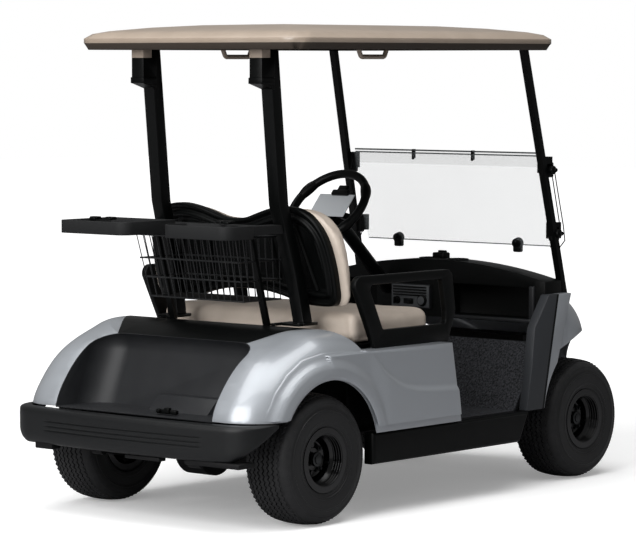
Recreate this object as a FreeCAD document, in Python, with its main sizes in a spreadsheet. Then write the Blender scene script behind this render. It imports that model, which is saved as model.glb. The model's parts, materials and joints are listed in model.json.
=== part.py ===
import FreeCAD, Part
import math
import os
import Sketcher

# Two-seat electric golf cart. Millimetres. +X points forward, +Y to the left, +Z up.
# The origin is on the ground under the middle of the cart.
# A "reach" is a distance ahead of the rear axle, a "height" is above the ground,
# and a "side" is a distance from the middle plane.

os.makedirs("parts", exist_ok=True)
doc = FreeCAD.newDocument("golf_cart")
sheet = doc.addObject("Spreadsheet::Sheet", "Sizes")

SIZES = (
    # Layout
    ("wheelbase", 1660, "rear axle to front axle"),
    ("rear_overhang", 465, "rear axle to the bumper's rear face"),
    ("front_overhang", 295, "front axle to the nose"),
    ("rear_tread", 980, "between the rear wheels' middles"),
    ("front_tread", 870, "between the front wheels' middles"),
    ("body_side", 600, "side of the widest body panel"),
    ("panel_wall", 4, "thickness of the moulded body panels"),
    ("seam", 1, "gap between neighbouring panels"),
    ("overrun", 10, "how far a cutting tool passes a face"),
    # Wheels
    ("tyre_radius", 238, "tread radius"),
    ("tyre_half_width", 101, "middle plane to the sidewall's widest point"),
    ("tread_half_width", 72, "middle plane to the edge of the flat tread"),
    ("tread_crown", 7, "drop of the tread from its middle to its edge"),
    ("tyre_shoulder", 26, "radial height of the rounded shoulder"),
    ("tyre_shoulder_arc", 33, "radius of the rounded shoulder"),
    ("tyre_wall_arc", 116, "radius of the bulged sidewall"),
    ("tyre_wall_tuck", 8, "sidewall inside its widest point at both ends"),
    ("rim_flange_radius", 118, "outer radius of the wheel's flange"),
    ("rim_seat_radius", 102, "bead seat radius of the eight-inch wheel"),
    ("rim_drop", 14, "depth of the drop centre"),
    ("rim_drop_half", 45, "half width of the drop centre"),
    ("rim_half_width", 96, "middle plane to the flange's outer face"),
    ("rim_flange_wall", 6, "thickness of the flange"),
    ("rim_wall", 6, "thickness of the wheel's barrel and disc"),
    ("disc_front", 20, "disc's face ahead of the middle plane"),
    ("disc_step", 10, "height of the disc's raised ring"),
    ("disc_ring_radius", 66, "radius of the disc's raised ring"),
    ("hub_radius", 40, "outer radius of the hub"),
    ("hub_back", 60, "hub's inner end behind the middle plane"),
    ("hub_front", 35, "hub's outer end ahead of the middle plane"),
    ("cap_radius", 24, "radius of the dust cap"),
    ("cap_height", 14, "height of the dust cap"),
    ("spindle_radius", 17, "radius of the wheel spindles"),
    ("running_gap", 0.05, "radial clearance of a shaft in its bore"),
    ("lug_circle", 101.6, "diameter of the wheel bolt circle"),
    ("lug_radius", 9, "radius of a wheel nut"),
    ("lug_height", 15, "height of a wheel nut"),
    # Chassis
    ("rail_side", 170, "middle of a main rail"),
    ("rail_width", 40, "width of a main rail"),
    ("rail_height", 65, "height of a main rail"),
    ("rail_bottom", 235, "underside of the low part of the rails"),
    ("rail_kick", 85, "rise of the rails over the rear axle"),
    ("kick_front", 205, "reach where the rails start to rise"),
    ("kick_back", 85, "reach where the rails end their rise"),
    ("rail_front_end", 170, "rail's front end ahead of the front axle"),
    ("rail_rear_end", 440, "rail's rear end behind the rear axle"),
    ("cross_width", 50, "width of a cross member"),
    ("cross_height", 40, "height of a cross member"),
    ("outrigger_side", 548, "end of the outriggers that carry the floor"),
    ("rear_cross_side", 300, "end of the rear cross members"),
    ("outrigger_one_reach", 735, "first floor outrigger"),
    ("outrigger_two_reach", 1085, "second floor outrigger"),
    # Rear axle and drive
    ("axle_tube_radius", 35, "rear axle tube"),
    ("axle_tube_side", 372, "end of the rear axle tube"),
    ("gear_case_radius", 100, "reduction gear case"),
    ("gear_case_width", 120, "width of the gear case"),
    ("motor_radius", 88, "drive motor"),
    ("motor_length", 270, "length of the drive motor"),
    ("motor_reach", 112, "motor's axis ahead of the rear axle"),
    ("motor_height", 262, "motor's axis above the ground"),
    ("spring_side", 250, "middle of a rear leaf spring"),
    ("spring_width", 50, "width of a leaf spring"),
    ("spring_half_length", 300, "half the span of a leaf spring"),
    ("spring_sag", 40, "sag of a leaf spring"),
    ("spring_thickness", 14, "thickness of the leaf pack"),
    ("spring_eye_radius", 16, "radius of a spring eye"),
    ("battery_rear_reach", 240, "rear face of the battery pack"),
    ("battery_length", 422, "length of the battery pack"),
    ("battery_width", 780, "width of the battery pack"),
    ("battery_height", 280, "height of the battery pack"),
    # Front axle and steering
    ("kingpin_side", 306, "side of the kingpin"),
    ("kingpin_radius", 9, "radius of the kingpin"),
    ("yoke_radius", 20, "radius of the yoke's ears and the knuckle's barrel"),
    ("yoke_lower_height", 150, "underside of the yoke's lower ear"),
    ("yoke_ear", 22, "thickness of a yoke ear"),
    ("barrel_gap", 1, "gap between the knuckle's barrel and an ear"),
    ("barrel_length", 112, "length of the knuckle's barrel"),
    ("yoke_web", 18, "thickness of the yoke's web"),
    ("arm_pivot_side", 178, "inner pivot of the lower arm"),
    ("arm_pivot_spread", 60, "half distance between the arm's pivots"),
    ("arm_bar", 30, "width of the lower arm's bars"),
    ("bracket_width", 34, "width of the arm brackets"),
    ("bracket_length", 36, "length of the arm brackets"),
    ("shock_radius", 22, "damper's outer radius"),
    ("spring_coil_radius", 36, "coil spring's outer radius"),
    ("shock_top_height", 520, "top of the front damper"),
    ("shock_top_side", 229, "side of the damper's top"),
    ("shock_rod_radius", 9, "damper's rod"),
    ("tower_width", 98, "width of the damper tower"),
    ("tower_wall", 20, "thickness of the damper tower's posts"),
    ("steer_arm", 95, "kingpin to tie rod"),
    ("steer_arm_height", 178, "underside of the steering arm"),
    ("steer_arm_thickness", 14, "thickness of the steering arm"),
    ("tie_rod_radius", 8, "radius of the tie rod"),
    ("tie_rod_gap", 0.3, "gap between the steering arm and the tie rod"),
    ("spindle_block", 30, "half size of the knuckle's spindle block"),
    # Steering wheel
    ("wheel_reach", 995, "steering wheel's middle"),
    ("wheel_side", 250, "steering wheel's side"),
    ("wheel_height", 1084, "steering wheel's middle"),
    ("wheel_ring_radius", 172, "middle of the steering wheel's ring"),
    ("wheel_grip_radius", 14.5, "radius of the steering wheel's ring"),
    ("wheel_slope", 42, "degrees of the column below level"),
    ("wheel_dish", 40, "hub of the steering wheel below its ring"),
    ("wheel_hub_radius", 48, "radius of the steering wheel's hub"),
    ("wheel_hub_height", 26, "height of the steering wheel's hub"),
    ("spoke_width", 26, "width of a steering wheel spoke"),
    ("spoke_thickness", 8, "thickness of a steering wheel spoke"),
    ("column_radius", 26, "radius of the steering column"),
    ("column_length", 470, "length of the steering column"),
    ("column_pin_radius", 10, "steering shaft in the column"),
    ("column_pin_length", 60, "steering shaft's length in the column"),
    ("column_gap", 3, "gap between the wheel's hub and the column"),
    # Floor
    ("floor_height", 300, "underside of the floor pan"),
    ("floor_wall", 5, "thickness of the floor pan"),
    ("mat_wall", 7, "thickness of the floor mat"),
    ("floor_rear_reach", 672, "rear edge of the floor"),
    ("floor_side", 548, "side edge of the floor"),
    ("toe_reach", 1185, "reach where the floor turns up"),
    ("toe_run", 190, "length of the sloping toe board"),
    ("toe_rise", 262, "rise of the sloping toe board"),
    # Rockers
    ("rocker_rear_reach", 262, "rear end of the rocker"),
    ("rocker_front_reach", 1150, "front end of the rocker"),
    ("rocker_top_height", 312, "top of the rocker"),
    ("rocker_height", 116, "height of the rocker"),
    ("rocker_depth", 46, "width of the rocker"),
    ("rocker_rake", 62, "slope of the rocker's front end"),
    ("rocker_round", 14, "rounding of the rocker's edges"),
    # Rear body
    ("haunch_foot_reach", 386, "fender's rear foot behind the rear axle"),
    ("haunch_foot_height", 396, "lower edge of the rear fender"),
    ("haunch_top_height", 697, "top of the rear deck"),
    ("haunch_front_reach", 225, "front end of the rear deck"),
    ("haunch_round", 150, "rounding between deck and side"),
    ("rear_arch_radius", 268, "rear wheel arch"),
    ("rear_arch_reach", 10, "middle of the rear wheel arch"),
    ("rear_arch_height", 258, "middle of the rear wheel arch"),
    ("side_panel_top", 612, "top of the side panel"),
    ("side_panel_front", 715, "front edge of the side panel at its top"),
    ("side_panel_lean", 56, "forward lean of the side panel's front edge"),
    ("side_panel_depth", 92, "how far the side panel turns inwards"),
    ("deck_side", 478, "side of the black rear deck"),
    # Bagwell
    ("well_side", 386, "half width of the bagwell"),
    ("well_top_height", 668, "top of the bagwell's wall"),
    ("well_floor_height", 396, "bagwell's floor"),
    ("well_top_reach", 75, "top of the bagwell's wall behind the rear axle"),
    ("well_foot_reach", 178, "foot of the bagwell's wall behind the rear axle"),
    ("well_round", 105, "rounding between the bagwell's wall and sides"),
    ("well_corner", 62, "rounding of the bagwell's upper corners"),
    ("port_left", 39, "charging port housing's left side"),
    ("port_right", 250, "charging port housing's right side"),
    ("port_height", 54, "charging port housing's height"),
    ("port_foot", 84, "charging port housing's foot behind the bagwell's wall"),
    ("port_crest", 24, "charging port housing's top behind the bagwell's wall"),
    ("port_round", 14, "rounding of the charging port housing"),
    # Rear bumper
    ("bumper_top", 392, "top of the rear bumper"),
    ("bumper_height", 138, "height of the rear bumper"),
    ("bumper_bow", 26, "bow of the rear bumper's face"),
    ("bumper_corner", 125, "rounding of the rear bumper's ends"),
    ("bumper_front_reach", 256, "front end of the bumper's sides behind the axle"),
    ("bumper_cut_reach", 177, "length of the slanted cut under the bumper's sides"),
    ("bumper_cut_drop", 12, "top of the slanted cut below the bumper's top"),
    ("bumper_cut_bulge", 14, "bulge of the slanted cut"),
    ("bumper_wall", 7, "thickness of the bumper"),
    ("bumper_round", 16, "rounding of the bumper's edges"),
    ("bumper_stay_height", 60, "height of the bumper's stays"),
    # Seat
    ("seat_board_height", 612, "underside of the seat board"),
    ("seat_board_wall", 16, "thickness of the seat board"),
    ("seat_rear_reach", 266, "rear edge of the seat"),
    ("haunch_crest_reach", 56, "start of the flat deck ahead of the rear axle"),
    ("seat_front_reach", 745, "front edge of the seat"),
    ("seat_side", 500, "side of the seat"),
    ("seat_thickness", 112, "thickness of the seat cushion"),
    ("seat_round", 34, "rounding of the seat cushion"),
    ("soft_gap", 0.3, "gap round a cushion"),
    ("seat_base_side", 496, "side of the seat base"),
    ("seat_base_front", 700, "front of the seat base"),
    ("seat_base_wall", 5, "thickness of the seat base"),
    ("seat_base_rim", 24, "inward flange round the seat base's mouth"),
    ("back_foot_reach", 225, "foot of the seat back's shell"),
    ("back_foot_height", 792, "lower edge of the seat back"),
    ("back_top_height", 1132, "top of the seat back's humps"),
    ("back_dip", 56, "dip between the humps"),
    ("back_lean", 78, "backward lean of the seat back over its height"),
    ("back_side", 510, "side of the seat back"),
    ("back_hump_side", 262, "middle of a hump"),
    ("back_corner_height", 970, "height where the shell's sides start to curve in"),
    ("shell_depth", 34, "depth of the seat back's shell"),
    ("shell_wall", 6, "thickness of the seat back's shell"),
    ("back_bracket_height", 850, "middle of the seat back's brackets"),
    ("back_cushion_depth", 80, "thickness of the seat back's cushion"),
    ("back_bracket_width", 40, "width of the seat back's brackets"),
    # Armrests
    ("arm_side", 512, "inner face of an armrest"),
    ("arm_depth", 26, "width of an armrest"),
    ("arm_foot_height", 612, "underside of an armrest"),
    ("arm_top_height", 881, "top of an armrest"),
    ("arm_rear_foot", 340, "armrest's rear foot"),
    ("arm_rear_top", 205, "armrest's upper rear corner"),
    ("arm_front_top", 792, "armrest's upper front corner"),
    ("arm_front_foot", 771, "armrest's front foot"),
    ("arm_knee_reach", 816, "foremost point of an armrest"),
    ("arm_knee_height", 724, "height of the armrest's foremost point"),
    ("arm_rear_bar", 78, "width of an armrest's rear bar"),
    ("arm_top_bar", 34, "height of an armrest's upper bar"),
    ("arm_front_bar", 58, "width of an armrest's front bar"),
    ("arm_base_height", 66, "height of an armrest's lower bar"),
    ("arm_corner", 34, "rounding of an armrest's corners"),
    # Roof and struts
    ("rear_strut_side", 294, "middle of a rear strut"),
    ("rear_strut_width", 52, "width of a rear strut"),
    ("rear_strut_depth", 50, "depth of a rear strut"),
    ("rear_strut_top_reach", 26, "rear strut's top ahead of the rear axle"),
    ("rear_strut_bend_reach", 80, "upper bend of a rear strut"),
    ("rear_strut_bend_height", 1140, "upper bend of a rear strut"),
    ("rear_strut_knee_reach", 157, "lower bend of a rear strut"),
    ("rear_strut_knee_height", 880, "lower bend of a rear strut"),
    ("rear_strut_foot_reach", 190, "foot of a rear strut"),
    ("rear_strut_splay", 22, "how far a rear strut's foot stands out"),
    ("strut_foot_wall", 10, "thickness of a rear strut's foot plate"),
    ("strut_foot_size", 84, "length of a rear strut's foot plate"),
    ("strut_head_height", 72, "height of a rear strut's head block"),
    ("strut_head_length", 46, "length of a rear strut's head block"),
    ("strut_head_width", 60, "width of a rear strut's head block"),
    ("strut_lip_height", 22, "height of the lip under a head block"),
    ("strut_lip", 3, "how far the lip stands out from the head block"),
    ("roof_boss_height", 30, "height of the roof's bosses over the head blocks"),
    ("front_strut_side", 484, "side of a front strut's top"),
    ("front_strut_flare", 30, "how far a front strut's foot stands out"),
    ("front_strut_top_reach", 1308, "front strut's top"),
    ("front_strut_foot_reach", 1524, "front strut's foot"),
    ("front_strut_foot_height", 772, "front strut's foot"),
    ("front_strut_width", 27, "width of a front strut"),
    ("front_strut_depth", 25, "depth of a front strut"),
    ("roof_rear_reach", 112, "roof's rear edge behind the rear axle"),
    ("roof_front_reach", 1446, "roof's front edge"),
    ("roof_side", 555, "roof's side edge"),
    ("roof_corner", 82, "rounding of the roof's corners"),
    ("roof_skirt_height", 1704, "underside of the roof's skirt"),
    ("roof_rim_height", 1746, "top of the roof's rim"),
    ("roof_top_height", 1800, "top of the roof"),
    ("roof_crown_edge", 470, "width of the rise from the rim to the roof's level middle"),
    ("roof_wall", 8, "thickness of the roof"),
    ("grip_reach", 560, "middle of a roof grip"),
    ("grip_side", 340, "side of a roof grip"),
    ("grip_length", 170, "length of a roof grip"),
    ("grip_drop", 34, "drop of a roof grip"),
    ("grip_radius", 9, "radius of a roof grip"),
    ("grip_bend", 14, "bend of a roof grip"),
    # Windshield
    ("glass_wall", 5, "thickness of the windshield"),
    ("glass_side", 474, "side of the windshield"),
    ("glass_foot_height", 862, "foot of the windshield"),
    ("glass_top_height", 1292, "top of the lower pane"),
    ("glass_fold_foot", 930, "free edge of the folded upper pane"),
    ("glass_stand_off", 20, "windshield ahead of the struts' middle"),
    ("pane_gap", 12, "gap between the two panes"),
    ("clamp_length", 64, "length of a windshield clamp"),
    ("clamp_width", 36, "width of a windshield clamp"),
    ("clamp_depth", 40, "depth of a windshield clamp"),
    ("clamp_high", 1256, "height of the upper windshield clamps"),
    ("clamp_low", 996, "height of the lower windshield clamps"),
    # Front cowl
    ("cowl_rear_reach", 1474, "rear end of the cowl's top"),
    ("cowl_side", 588, "cowl's widest side"),
    ("cowl_top_height", 862, "cowl's top at the windshield"),
    ("cowl_nose_top", 516, "top of the nose"),
    ("cowl_bottom_height", 330, "cowl's lower edge"),
    ("cowl_shoulder", 150, "rounding of the cowl's shoulders"),
    ("cowl_crown", 60, "crown of the cowl's top"),
    ("front_arch_radius", 335, "front wheel arch"),
    ("front_arch_back", 15, "middle of the front wheel arch behind the axle"),
    ("front_arch_height", 258, "middle of the front wheel arch"),
    ("front_bumper_height", 150, "height of the front bumper"),
    ("front_bumper_bottom", 232, "underside of the front bumper"),
    ("front_bumper_depth", 90, "depth of the front bumper"),
    ("front_bumper_side", 236, "side of the front bumper"),
    ("lamp_radius", 38, "headlamp's lens"),
    ("lamp_body_radius", 44, "headlamp's housing"),
    ("lamp_side", 132, "side of a headlamp"),
    ("lamp_height", 424, "height of a headlamp"),
    ("lamp_depth", 28, "depth of a headlamp's housing"),
    # Cowl sides
    ("post_side", 588, "outer face of the cowl's side posts"),
    ("post_low_rear", 1199, "rear edge of a side post at its foot"),
    ("post_knee_rear", 1230, "rear edge of a side post at its knee"),
    ("post_mid_rear", 1321, "rear edge of a side post below the dash"),
    ("post_top_rear", 1362, "rear edge of a side post at its top"),
    ("post_knee_height", 472, "height of a side post's knee"),
    ("post_mid_height", 600, "height of a side post's waist"),
    ("post_top_height", 792, "top of a side post"),
    ("joint_low_reach", 1390, "cowl and side post meet above the arch"),
    ("joint_low_height", 455, "height of the joint's lower end"),
    ("joint_lean", 98, "forward lean of the joint up to the post's top"),
    # Dash
    ("dash_rear_reach", 1368, "face of the dash"),
    ("dash_side", 548, "side of the dash"),
    ("dash_bottom", 636, "underside of the dash"),
    ("dash_top_middle", 868, "top of the dash in the middle"),
    ("dash_top_side", 800, "top of the dash at its sides"),
    ("dash_wall", 8, "thickness of the dash's walls"),
    ("glove_inner_side", 52, "glovebox's inner side"),
    ("glove_outer_side", 478, "glovebox's outer side"),
    ("glove_bottom", 650, "glovebox's floor"),
    ("glove_top", 776, "glovebox's roof"),
    ("panel_side", 116, "middle of the switch panel"),
    ("panel_width", 198, "width of the switch panel"),
    ("panel_bottom", 668, "lower edge of the switch panel"),
    ("panel_height", 96, "height of the switch panel"),
    ("panel_depth", 14, "thickness of the switch panel"),
    ("cup_radius", 40, "radius of a cup holder"),
    ("cup_depth", 70, "depth of a cup holder"),
    ("cup_side", 70, "side of a cup holder"),
    ("cup_reach", 1424, "middle of a cup holder"),
    ("pedal_width", 70, "width of a pedal's pad"),
    ("pedal_height", 96, "height of a pedal's pad"),
    ("pedal_wall", 12, "thickness of a pedal"),
    ("pedal_lift", 60, "pedal's pad above the mat"),
    ("pedal_stem", 18, "width of a pedal's stem"),
    ("pedal_lean", 30, "forward lean of a pedal's pad"),
    ("pedal_reach", 1130, "reach of the pedals"),
    ("brake_side", 236, "side of the brake pedal"),
    ("throttle_side", 138, "side of the accelerator"),
    # Bag holder and basket
    ("hoop_side", 192, "middle of a bag hoop"),
    ("hoop_half_width", 164, "half width of a bag hoop"),
    ("hoop_long", 269, "length of the left bag hoop"),
    ("hoop_short", 142, "length of the right bag hoop"),
    ("hoop_step", 10, "right bag hoop below the left one"),
    ("hoop_band", 48, "height of a bag hoop's band"),
    ("hoop_wall", 8, "thickness of a bag hoop's band"),
    ("hoop_corner", 46, "rounding of a bag hoop's corners"),
    ("hoop_height", 1036, "underside of the bag hoops"),
    ("hoop_root_reach", 125, "root of the bag hoops behind the rear axle"),
    ("hoop_bar", 32, "bag holder's cross bar"),
    ("basket_low_height", 797, "floor of the basket"),
    ("basket_height", 212, "height of the basket"),
    ("basket_side", 250, "side of the basket"),
    ("basket_rear_foot", 4, "basket's rear side at its floor"),
    ("basket_rear_lean", 138, "backward lean of the basket's rear side"),
    ("basket_front_foot", 202, "basket's front side at its floor"),
    ("basket_front_lean", 52, "backward lean of the basket's front side"),
    ("basket_corner", 14, "rounding of the basket's corners"),
    ("ring_radius", 3.4, "radius of the basket's rings"),
    ("wire_radius", 2.4, "radius of the basket's wires"),
    ("wire_pitch", 42, "distance between the basket's wires"),
    ("upright_foot_reach", 83, "foot of a basket upright"),
    ("upright_top_back", 13, "top of a basket upright behind the rear axle"),
    ("upright_width", 26, "width of a basket upright"),
    ("upright_depth", 14, "thickness of a basket upright"),
)


class Size:
    """A length with the spreadsheet formula that gives it."""

    def __init__(self, value, text):
        self.value = value
        self.text = text

    def __float__(self):
        return float(self.value)

    def __add__(self, other):
        return Size(self.value + float(other), "(%s + %s)" % (self.text, text_of(other)))

    def __radd__(self, other):
        return Size(float(other) + self.value, "(%s + %s)" % (text_of(other), self.text))

    def __sub__(self, other):
        return Size(self.value - float(other), "(%s - %s)" % (self.text, text_of(other)))

    def __rsub__(self, other):
        return Size(float(other) - self.value, "(%s - %s)" % (text_of(other), self.text))

    def __mul__(self, other):
        return Size(self.value * float(other), "(%s * %s)" % (self.text, text_of(other)))

    __rmul__ = __mul__

    def __truediv__(self, other):
        return Size(self.value / float(other), "(%s / %s)" % (self.text, text_of(other)))

    def __neg__(self):
        return Size(-self.value, "(0 - %s)" % self.text)


def text_of(number):
    """The formula of a Size, or a plain number as text."""
    return number.text if isinstance(number, Size) else repr(float(number))


class Sizes:
    """Every named size of the sheet, as an attribute."""


s = Sizes()
for row, (name, value, meaning) in enumerate(SIZES, start=1):
    sheet.set("A%d" % row, name)
    sheet.set("B%d" % row, str(value))
    sheet.set("C%d" % row, meaning)
    sheet.setAlias("B%d" % row, name)
    setattr(s, name, Size(value, "Sizes." + name))
doc.recompute()

rear_x = (s.rear_overhang - s.wheelbase - s.front_overhang) / 2
front_x = rear_x + s.wheelbase
axle_z = s.tyre_radius
nodes = {}


def ahead(reach):
    """X of a place given by its distance ahead of the rear axle."""
    return rear_x + reach


def vec(x, y, z):
    return FreeCAD.Vector(float(x), float(y), float(z))


def bind(thing, **values):
    """Bind an object's properties to the formulas of their sizes."""
    for name, size in values.items():
        setattr(thing, name, float(size))
        if isinstance(size, Size):
            thing.setExpression(name, size.text)


def place(thing, x=0, y=0, z=0, turn=None):
    """Set an object's place, each coordinate bound to its formula."""
    rotation = turn if turn else FreeCAD.Rotation()
    thing.Placement = FreeCAD.Placement(vec(x, y, z), rotation)
    for axis, size in (("x", x), ("y", y), ("z", z)):
        if isinstance(size, Size):
            thing.setExpression("Placement.Base." + axis, size.text)
    return thing


def box(name, x, y, z):
    """A box from three (low, high) pairs."""
    thing = doc.addObject("Part::Box", name)
    bind(thing, Length=x[1] - x[0], Width=y[1] - y[0], Height=z[1] - z[0])
    return place(thing, x[0], y[0], z[0])


TURN = {
    "z": FreeCAD.Rotation(),
    "y": FreeCAD.Rotation(FreeCAD.Vector(1, 0, 0), -90),
    "x": FreeCAD.Rotation(FreeCAD.Vector(0, 1, 0), 90),
}


def rod(name, radius, length, x, y, z, axis="z"):
    """A cylinder that starts at a point and runs along an axis."""
    thing = doc.addObject("Part::Cylinder", name)
    bind(thing, Radius=radius, Height=length)
    return place(thing, x, y, z, TURN[axis])


def fuse(name, things):
    thing = doc.addObject("Part::MultiFuse", name)
    thing.Shapes = things
    return thing


def cut(name, base, tools):
    """A base less its tools."""
    tool = tools[0] if len(tools) == 1 else fuse(name + "_tools", tools)
    thing = doc.addObject("Part::Cut", name)
    thing.Base = base
    thing.Tool = tool
    return thing


def mirror(thing):
    """The same piece on the other side of the cart."""
    twin = doc.addObject("Part::Mirroring", thing.Name + "_twin")
    twin.Source = thing
    twin.Base = FreeCAD.Vector(0, 0, 0)
    twin.Normal = FreeCAD.Vector(0, 1, 0)
    return twin


def feature(name, shape):
    """A piece whose shape is worked out from the sheet's sizes."""
    thing = doc.addObject("Part::Feature", name)
    thing.Shape = shape
    return thing


def keep(label, thing):
    """Give a finished sub-part its label and list it for export."""
    thing.Label = label
    nodes[label] = thing
    return thing


def keep_pair(label, thing):
    """A piece and its twin on the other side, as one sub-part of two solids."""
    both = doc.addObject("Part::Compound", label + "_pair")
    both.Links = [thing, mirror(thing)]
    return keep(label, both)


# Sketches

def plane_of(body, role):
    return [item for item in body.Origin.OriginFeatures if item.Role == role][0]


def sketch(body, role, outline, name, lift=0):
    """A closed outline of lines and arcs on one of a body's planes.

    Each entry is (u, v) or (u, v, radius): the edge that leaves a point is an arc when it has
    a radius, which bulges to the right of its direction, or to the left when it is negative.
    """
    sk = body.newObject("Sketcher::SketchObject", name)
    sk.AttachmentSupport = [(plane_of(body, role), "")]
    sk.MapMode = "FlatFace"
    if isinstance(lift, Size):
        sk.AttachmentOffset = FreeCAD.Placement(vec(0, 0, lift), FreeCAD.Rotation())
        sk.setExpression("AttachmentOffset.Base.z", lift.text)
    count = len(outline)
    for index, entry in enumerate(outline):
        start = vec(entry[0], entry[1], 0)
        following = outline[(index + 1) % count]
        end = vec(following[0], following[1], 0)
        if len(entry) == 2:
            sk.addGeometry(Part.LineSegment(start, end), False)
        else:
            sk.addGeometry(arc_edge(start, end, float(entry[2])), False)
    for index, entry in enumerate(outline):
        following = (index + 1) % count
        at = 1 if len(entry) == 2 or float(entry[2]) > 0 else 2
        nxt = outline[following]
        at_next = 1 if len(nxt) == 2 or float(nxt[2]) > 0 else 2
        sk.addConstraint(Sketcher.Constraint("Coincident", index, 3 - at, following, at_next))
        for kind, value in (("DistanceX", entry[0]), ("DistanceY", entry[1])):
            number = sk.addConstraint(Sketcher.Constraint(kind, -1, 1, index, at, float(value)))
            if isinstance(value, Size):
                sk.setExpression("Constraints[%d]" % number, value.text)
        if len(entry) == 3:
            radius = entry[2] if float(entry[2]) > 0 else -entry[2]
            number = sk.addConstraint(Sketcher.Constraint("Radius", index, float(radius)))
            sk.setExpression("Constraints[%d]" % number, radius.text)
    return sk


def arc_edge(start, end, radius):
    """An arc between two points that bulges to the right, or to the left if negative."""
    middle = (start + end) * 0.5
    chord = end - start
    half = chord.Length / 2
    right = FreeCAD.Vector(chord.y, -chord.x, 0).normalize()
    side = 1 if radius > 0 else -1
    rise = abs(radius) - math.sqrt(radius * radius - half * half)
    crest = middle + right * (side * rise)
    return Part.Arc(start, crest, end)


def body_of(name):
    return doc.addObject("PartDesign::Body", name)


def pad(body, outline_sketch, length, name, midplane=False, reverse=False):
    thing = body.newObject("PartDesign::Pad", name)
    thing.Profile = outline_sketch
    bind(thing, Length=length)
    thing.Midplane = midplane
    thing.Reversed = reverse
    body.Tip = thing
    return thing


def revolve(body, outline_sketch, name):
    thing = body.newObject("PartDesign::Revolution", name)
    thing.Profile = outline_sketch
    thing.ReferenceAxis = (outline_sketch, ["V_Axis"])
    thing.Angle = 360
    body.Tip = thing
    return thing


# Shapes from lines, arcs and splines

def polygon(points):
    return Part.makePolygon([vec(*point) for point in points] + [vec(*points[0])])


def prism(points, direction):
    """A flat outline pushed along a direction."""
    return Part.Face(polygon(points)).extrude(vec(*direction))


def side_prism(points, side_low, side_high):
    """An outline of (x, z) points between two sides."""
    outline = [(x, side_low, z) for x, z in points]
    return prism(outline, (0, side_high - side_low, 0))


def slab(x, y, z):
    """A box shape from three (low, high) pairs."""
    size = [float(pair[1]) - float(pair[0]) for pair in (x, y, z)]
    return Part.makeBox(size[0], size[1], size[2], vec(x[0], y[0], z[0]))


def both_sides(shape):
    """A shape with its mirror image in the middle plane."""
    return shape.mirror(FreeCAD.Vector(0, 0, 0), FreeCAD.Vector(0, 1, 0))


def round_edges(shape, radius, chosen):
    """Round the edges that a test chooses."""
    edges = [edge for edge in shape.Edges if chosen(edge)]
    return shape.makeFillet(float(radius), edges)


# Share of an edge's length that lies along an axis when the two are parallel
PARALLEL_SHARE = 0.9999


def along(edge, axis):
    """Whether an edge is straight and parallel to an axis."""
    if len(edge.Vertexes) != 2:
        return False
    step = edge.Vertexes[1].Point - edge.Vertexes[0].Point
    return abs(step.dot(axis)) > PARALLEL_SHARE * edge.Length


X_AXIS = FreeCAD.Vector(1, 0, 0)
Y_AXIS = FreeCAD.Vector(0, 1, 0)
Z_AXIS = FreeCAD.Vector(0, 0, 1)


def bent_path(points, bend):
    """A path of straight runs joined by arcs of one radius."""
    edges = []
    here = points[0]
    for index in range(1, len(points) - 1):
        corner = points[index]
        back = (points[index - 1] - corner).normalize()
        on = (points[index + 1] - corner).normalize()
        half = back.getAngle(on) / 2
        cut_back = bend / math.tan(half)
        start = corner + back * cut_back
        end = corner + on * cut_back
        inward = (back + on).normalize()
        crest = corner + inward * (bend / math.sin(half) - bend)
        edges.append(Part.LineSegment(here, start).toShape())
        edges.append(Part.Arc(start, crest, end).toShape())
        here = end
    edges.append(Part.LineSegment(here, points[-1]).toShape())
    return Part.Wire(edges)


def round_tube(points, radius, bend):
    """A round bar along a bent path."""
    path = bent_path(points, float(bend)) if len(points) > 2 else Part.makePolygon(points)
    start = points[0]
    ring = Part.Wire(Part.makeCircle(float(radius), start, points[1] - points[0]))
    return path.makePipeShell([ring], True, False)


def square_tube(points, width, depth):
    """A straight rectangular bar between two points."""
    path = Part.makePolygon(points)
    start = points[0]
    run = (points[1] - start).normalize()
    across = Y_AXIS - run * run.dot(Y_AXIS)
    across.normalize()
    upright = run.cross(across)
    a = across * (float(width) / 2)
    b = upright * (float(depth) / 2)
    ring = Part.makePolygon([start + a + b, start - a + b, start - a - b, start + a - b, start + a + b])
    return path.makePipeShell([ring], True, False)


# Wheels: tyre and rim, made once at the left side and placed four times

def tyre(label, x, side):
    body = body_of(label + "_body")
    flange = s.rim_flange_radius + s.seam
    shoulder = s.tyre_radius - s.tyre_shoulder
    tread = s.tyre_radius - s.tread_crown
    wall = s.tyre_half_width - s.tyre_wall_tuck
    bead = s.rim_half_width - s.rim_flange_wall - s.seam
    seat = s.rim_seat_radius + s.seam
    crown_arc = (s.tread_half_width * s.tread_half_width / s.tread_crown + s.tread_crown) / 2
    outline = [
        (seat, -bead),
        (flange, -bead),
        (flange, -wall, s.tyre_wall_arc),
        (shoulder, -wall, s.tyre_shoulder_arc),
        (tread, -s.tread_half_width, crown_arc),
        (tread, s.tread_half_width, s.tyre_shoulder_arc),
        (shoulder, wall, s.tyre_wall_arc),
        (flange, wall),
        (flange, bead),
        (seat, bead),
    ]
    revolve(body, sketch(body, "XY_Plane", outline, label + "_outline"), label + "_ring")
    keep(label, place(body, x, side, axle_z))


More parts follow.
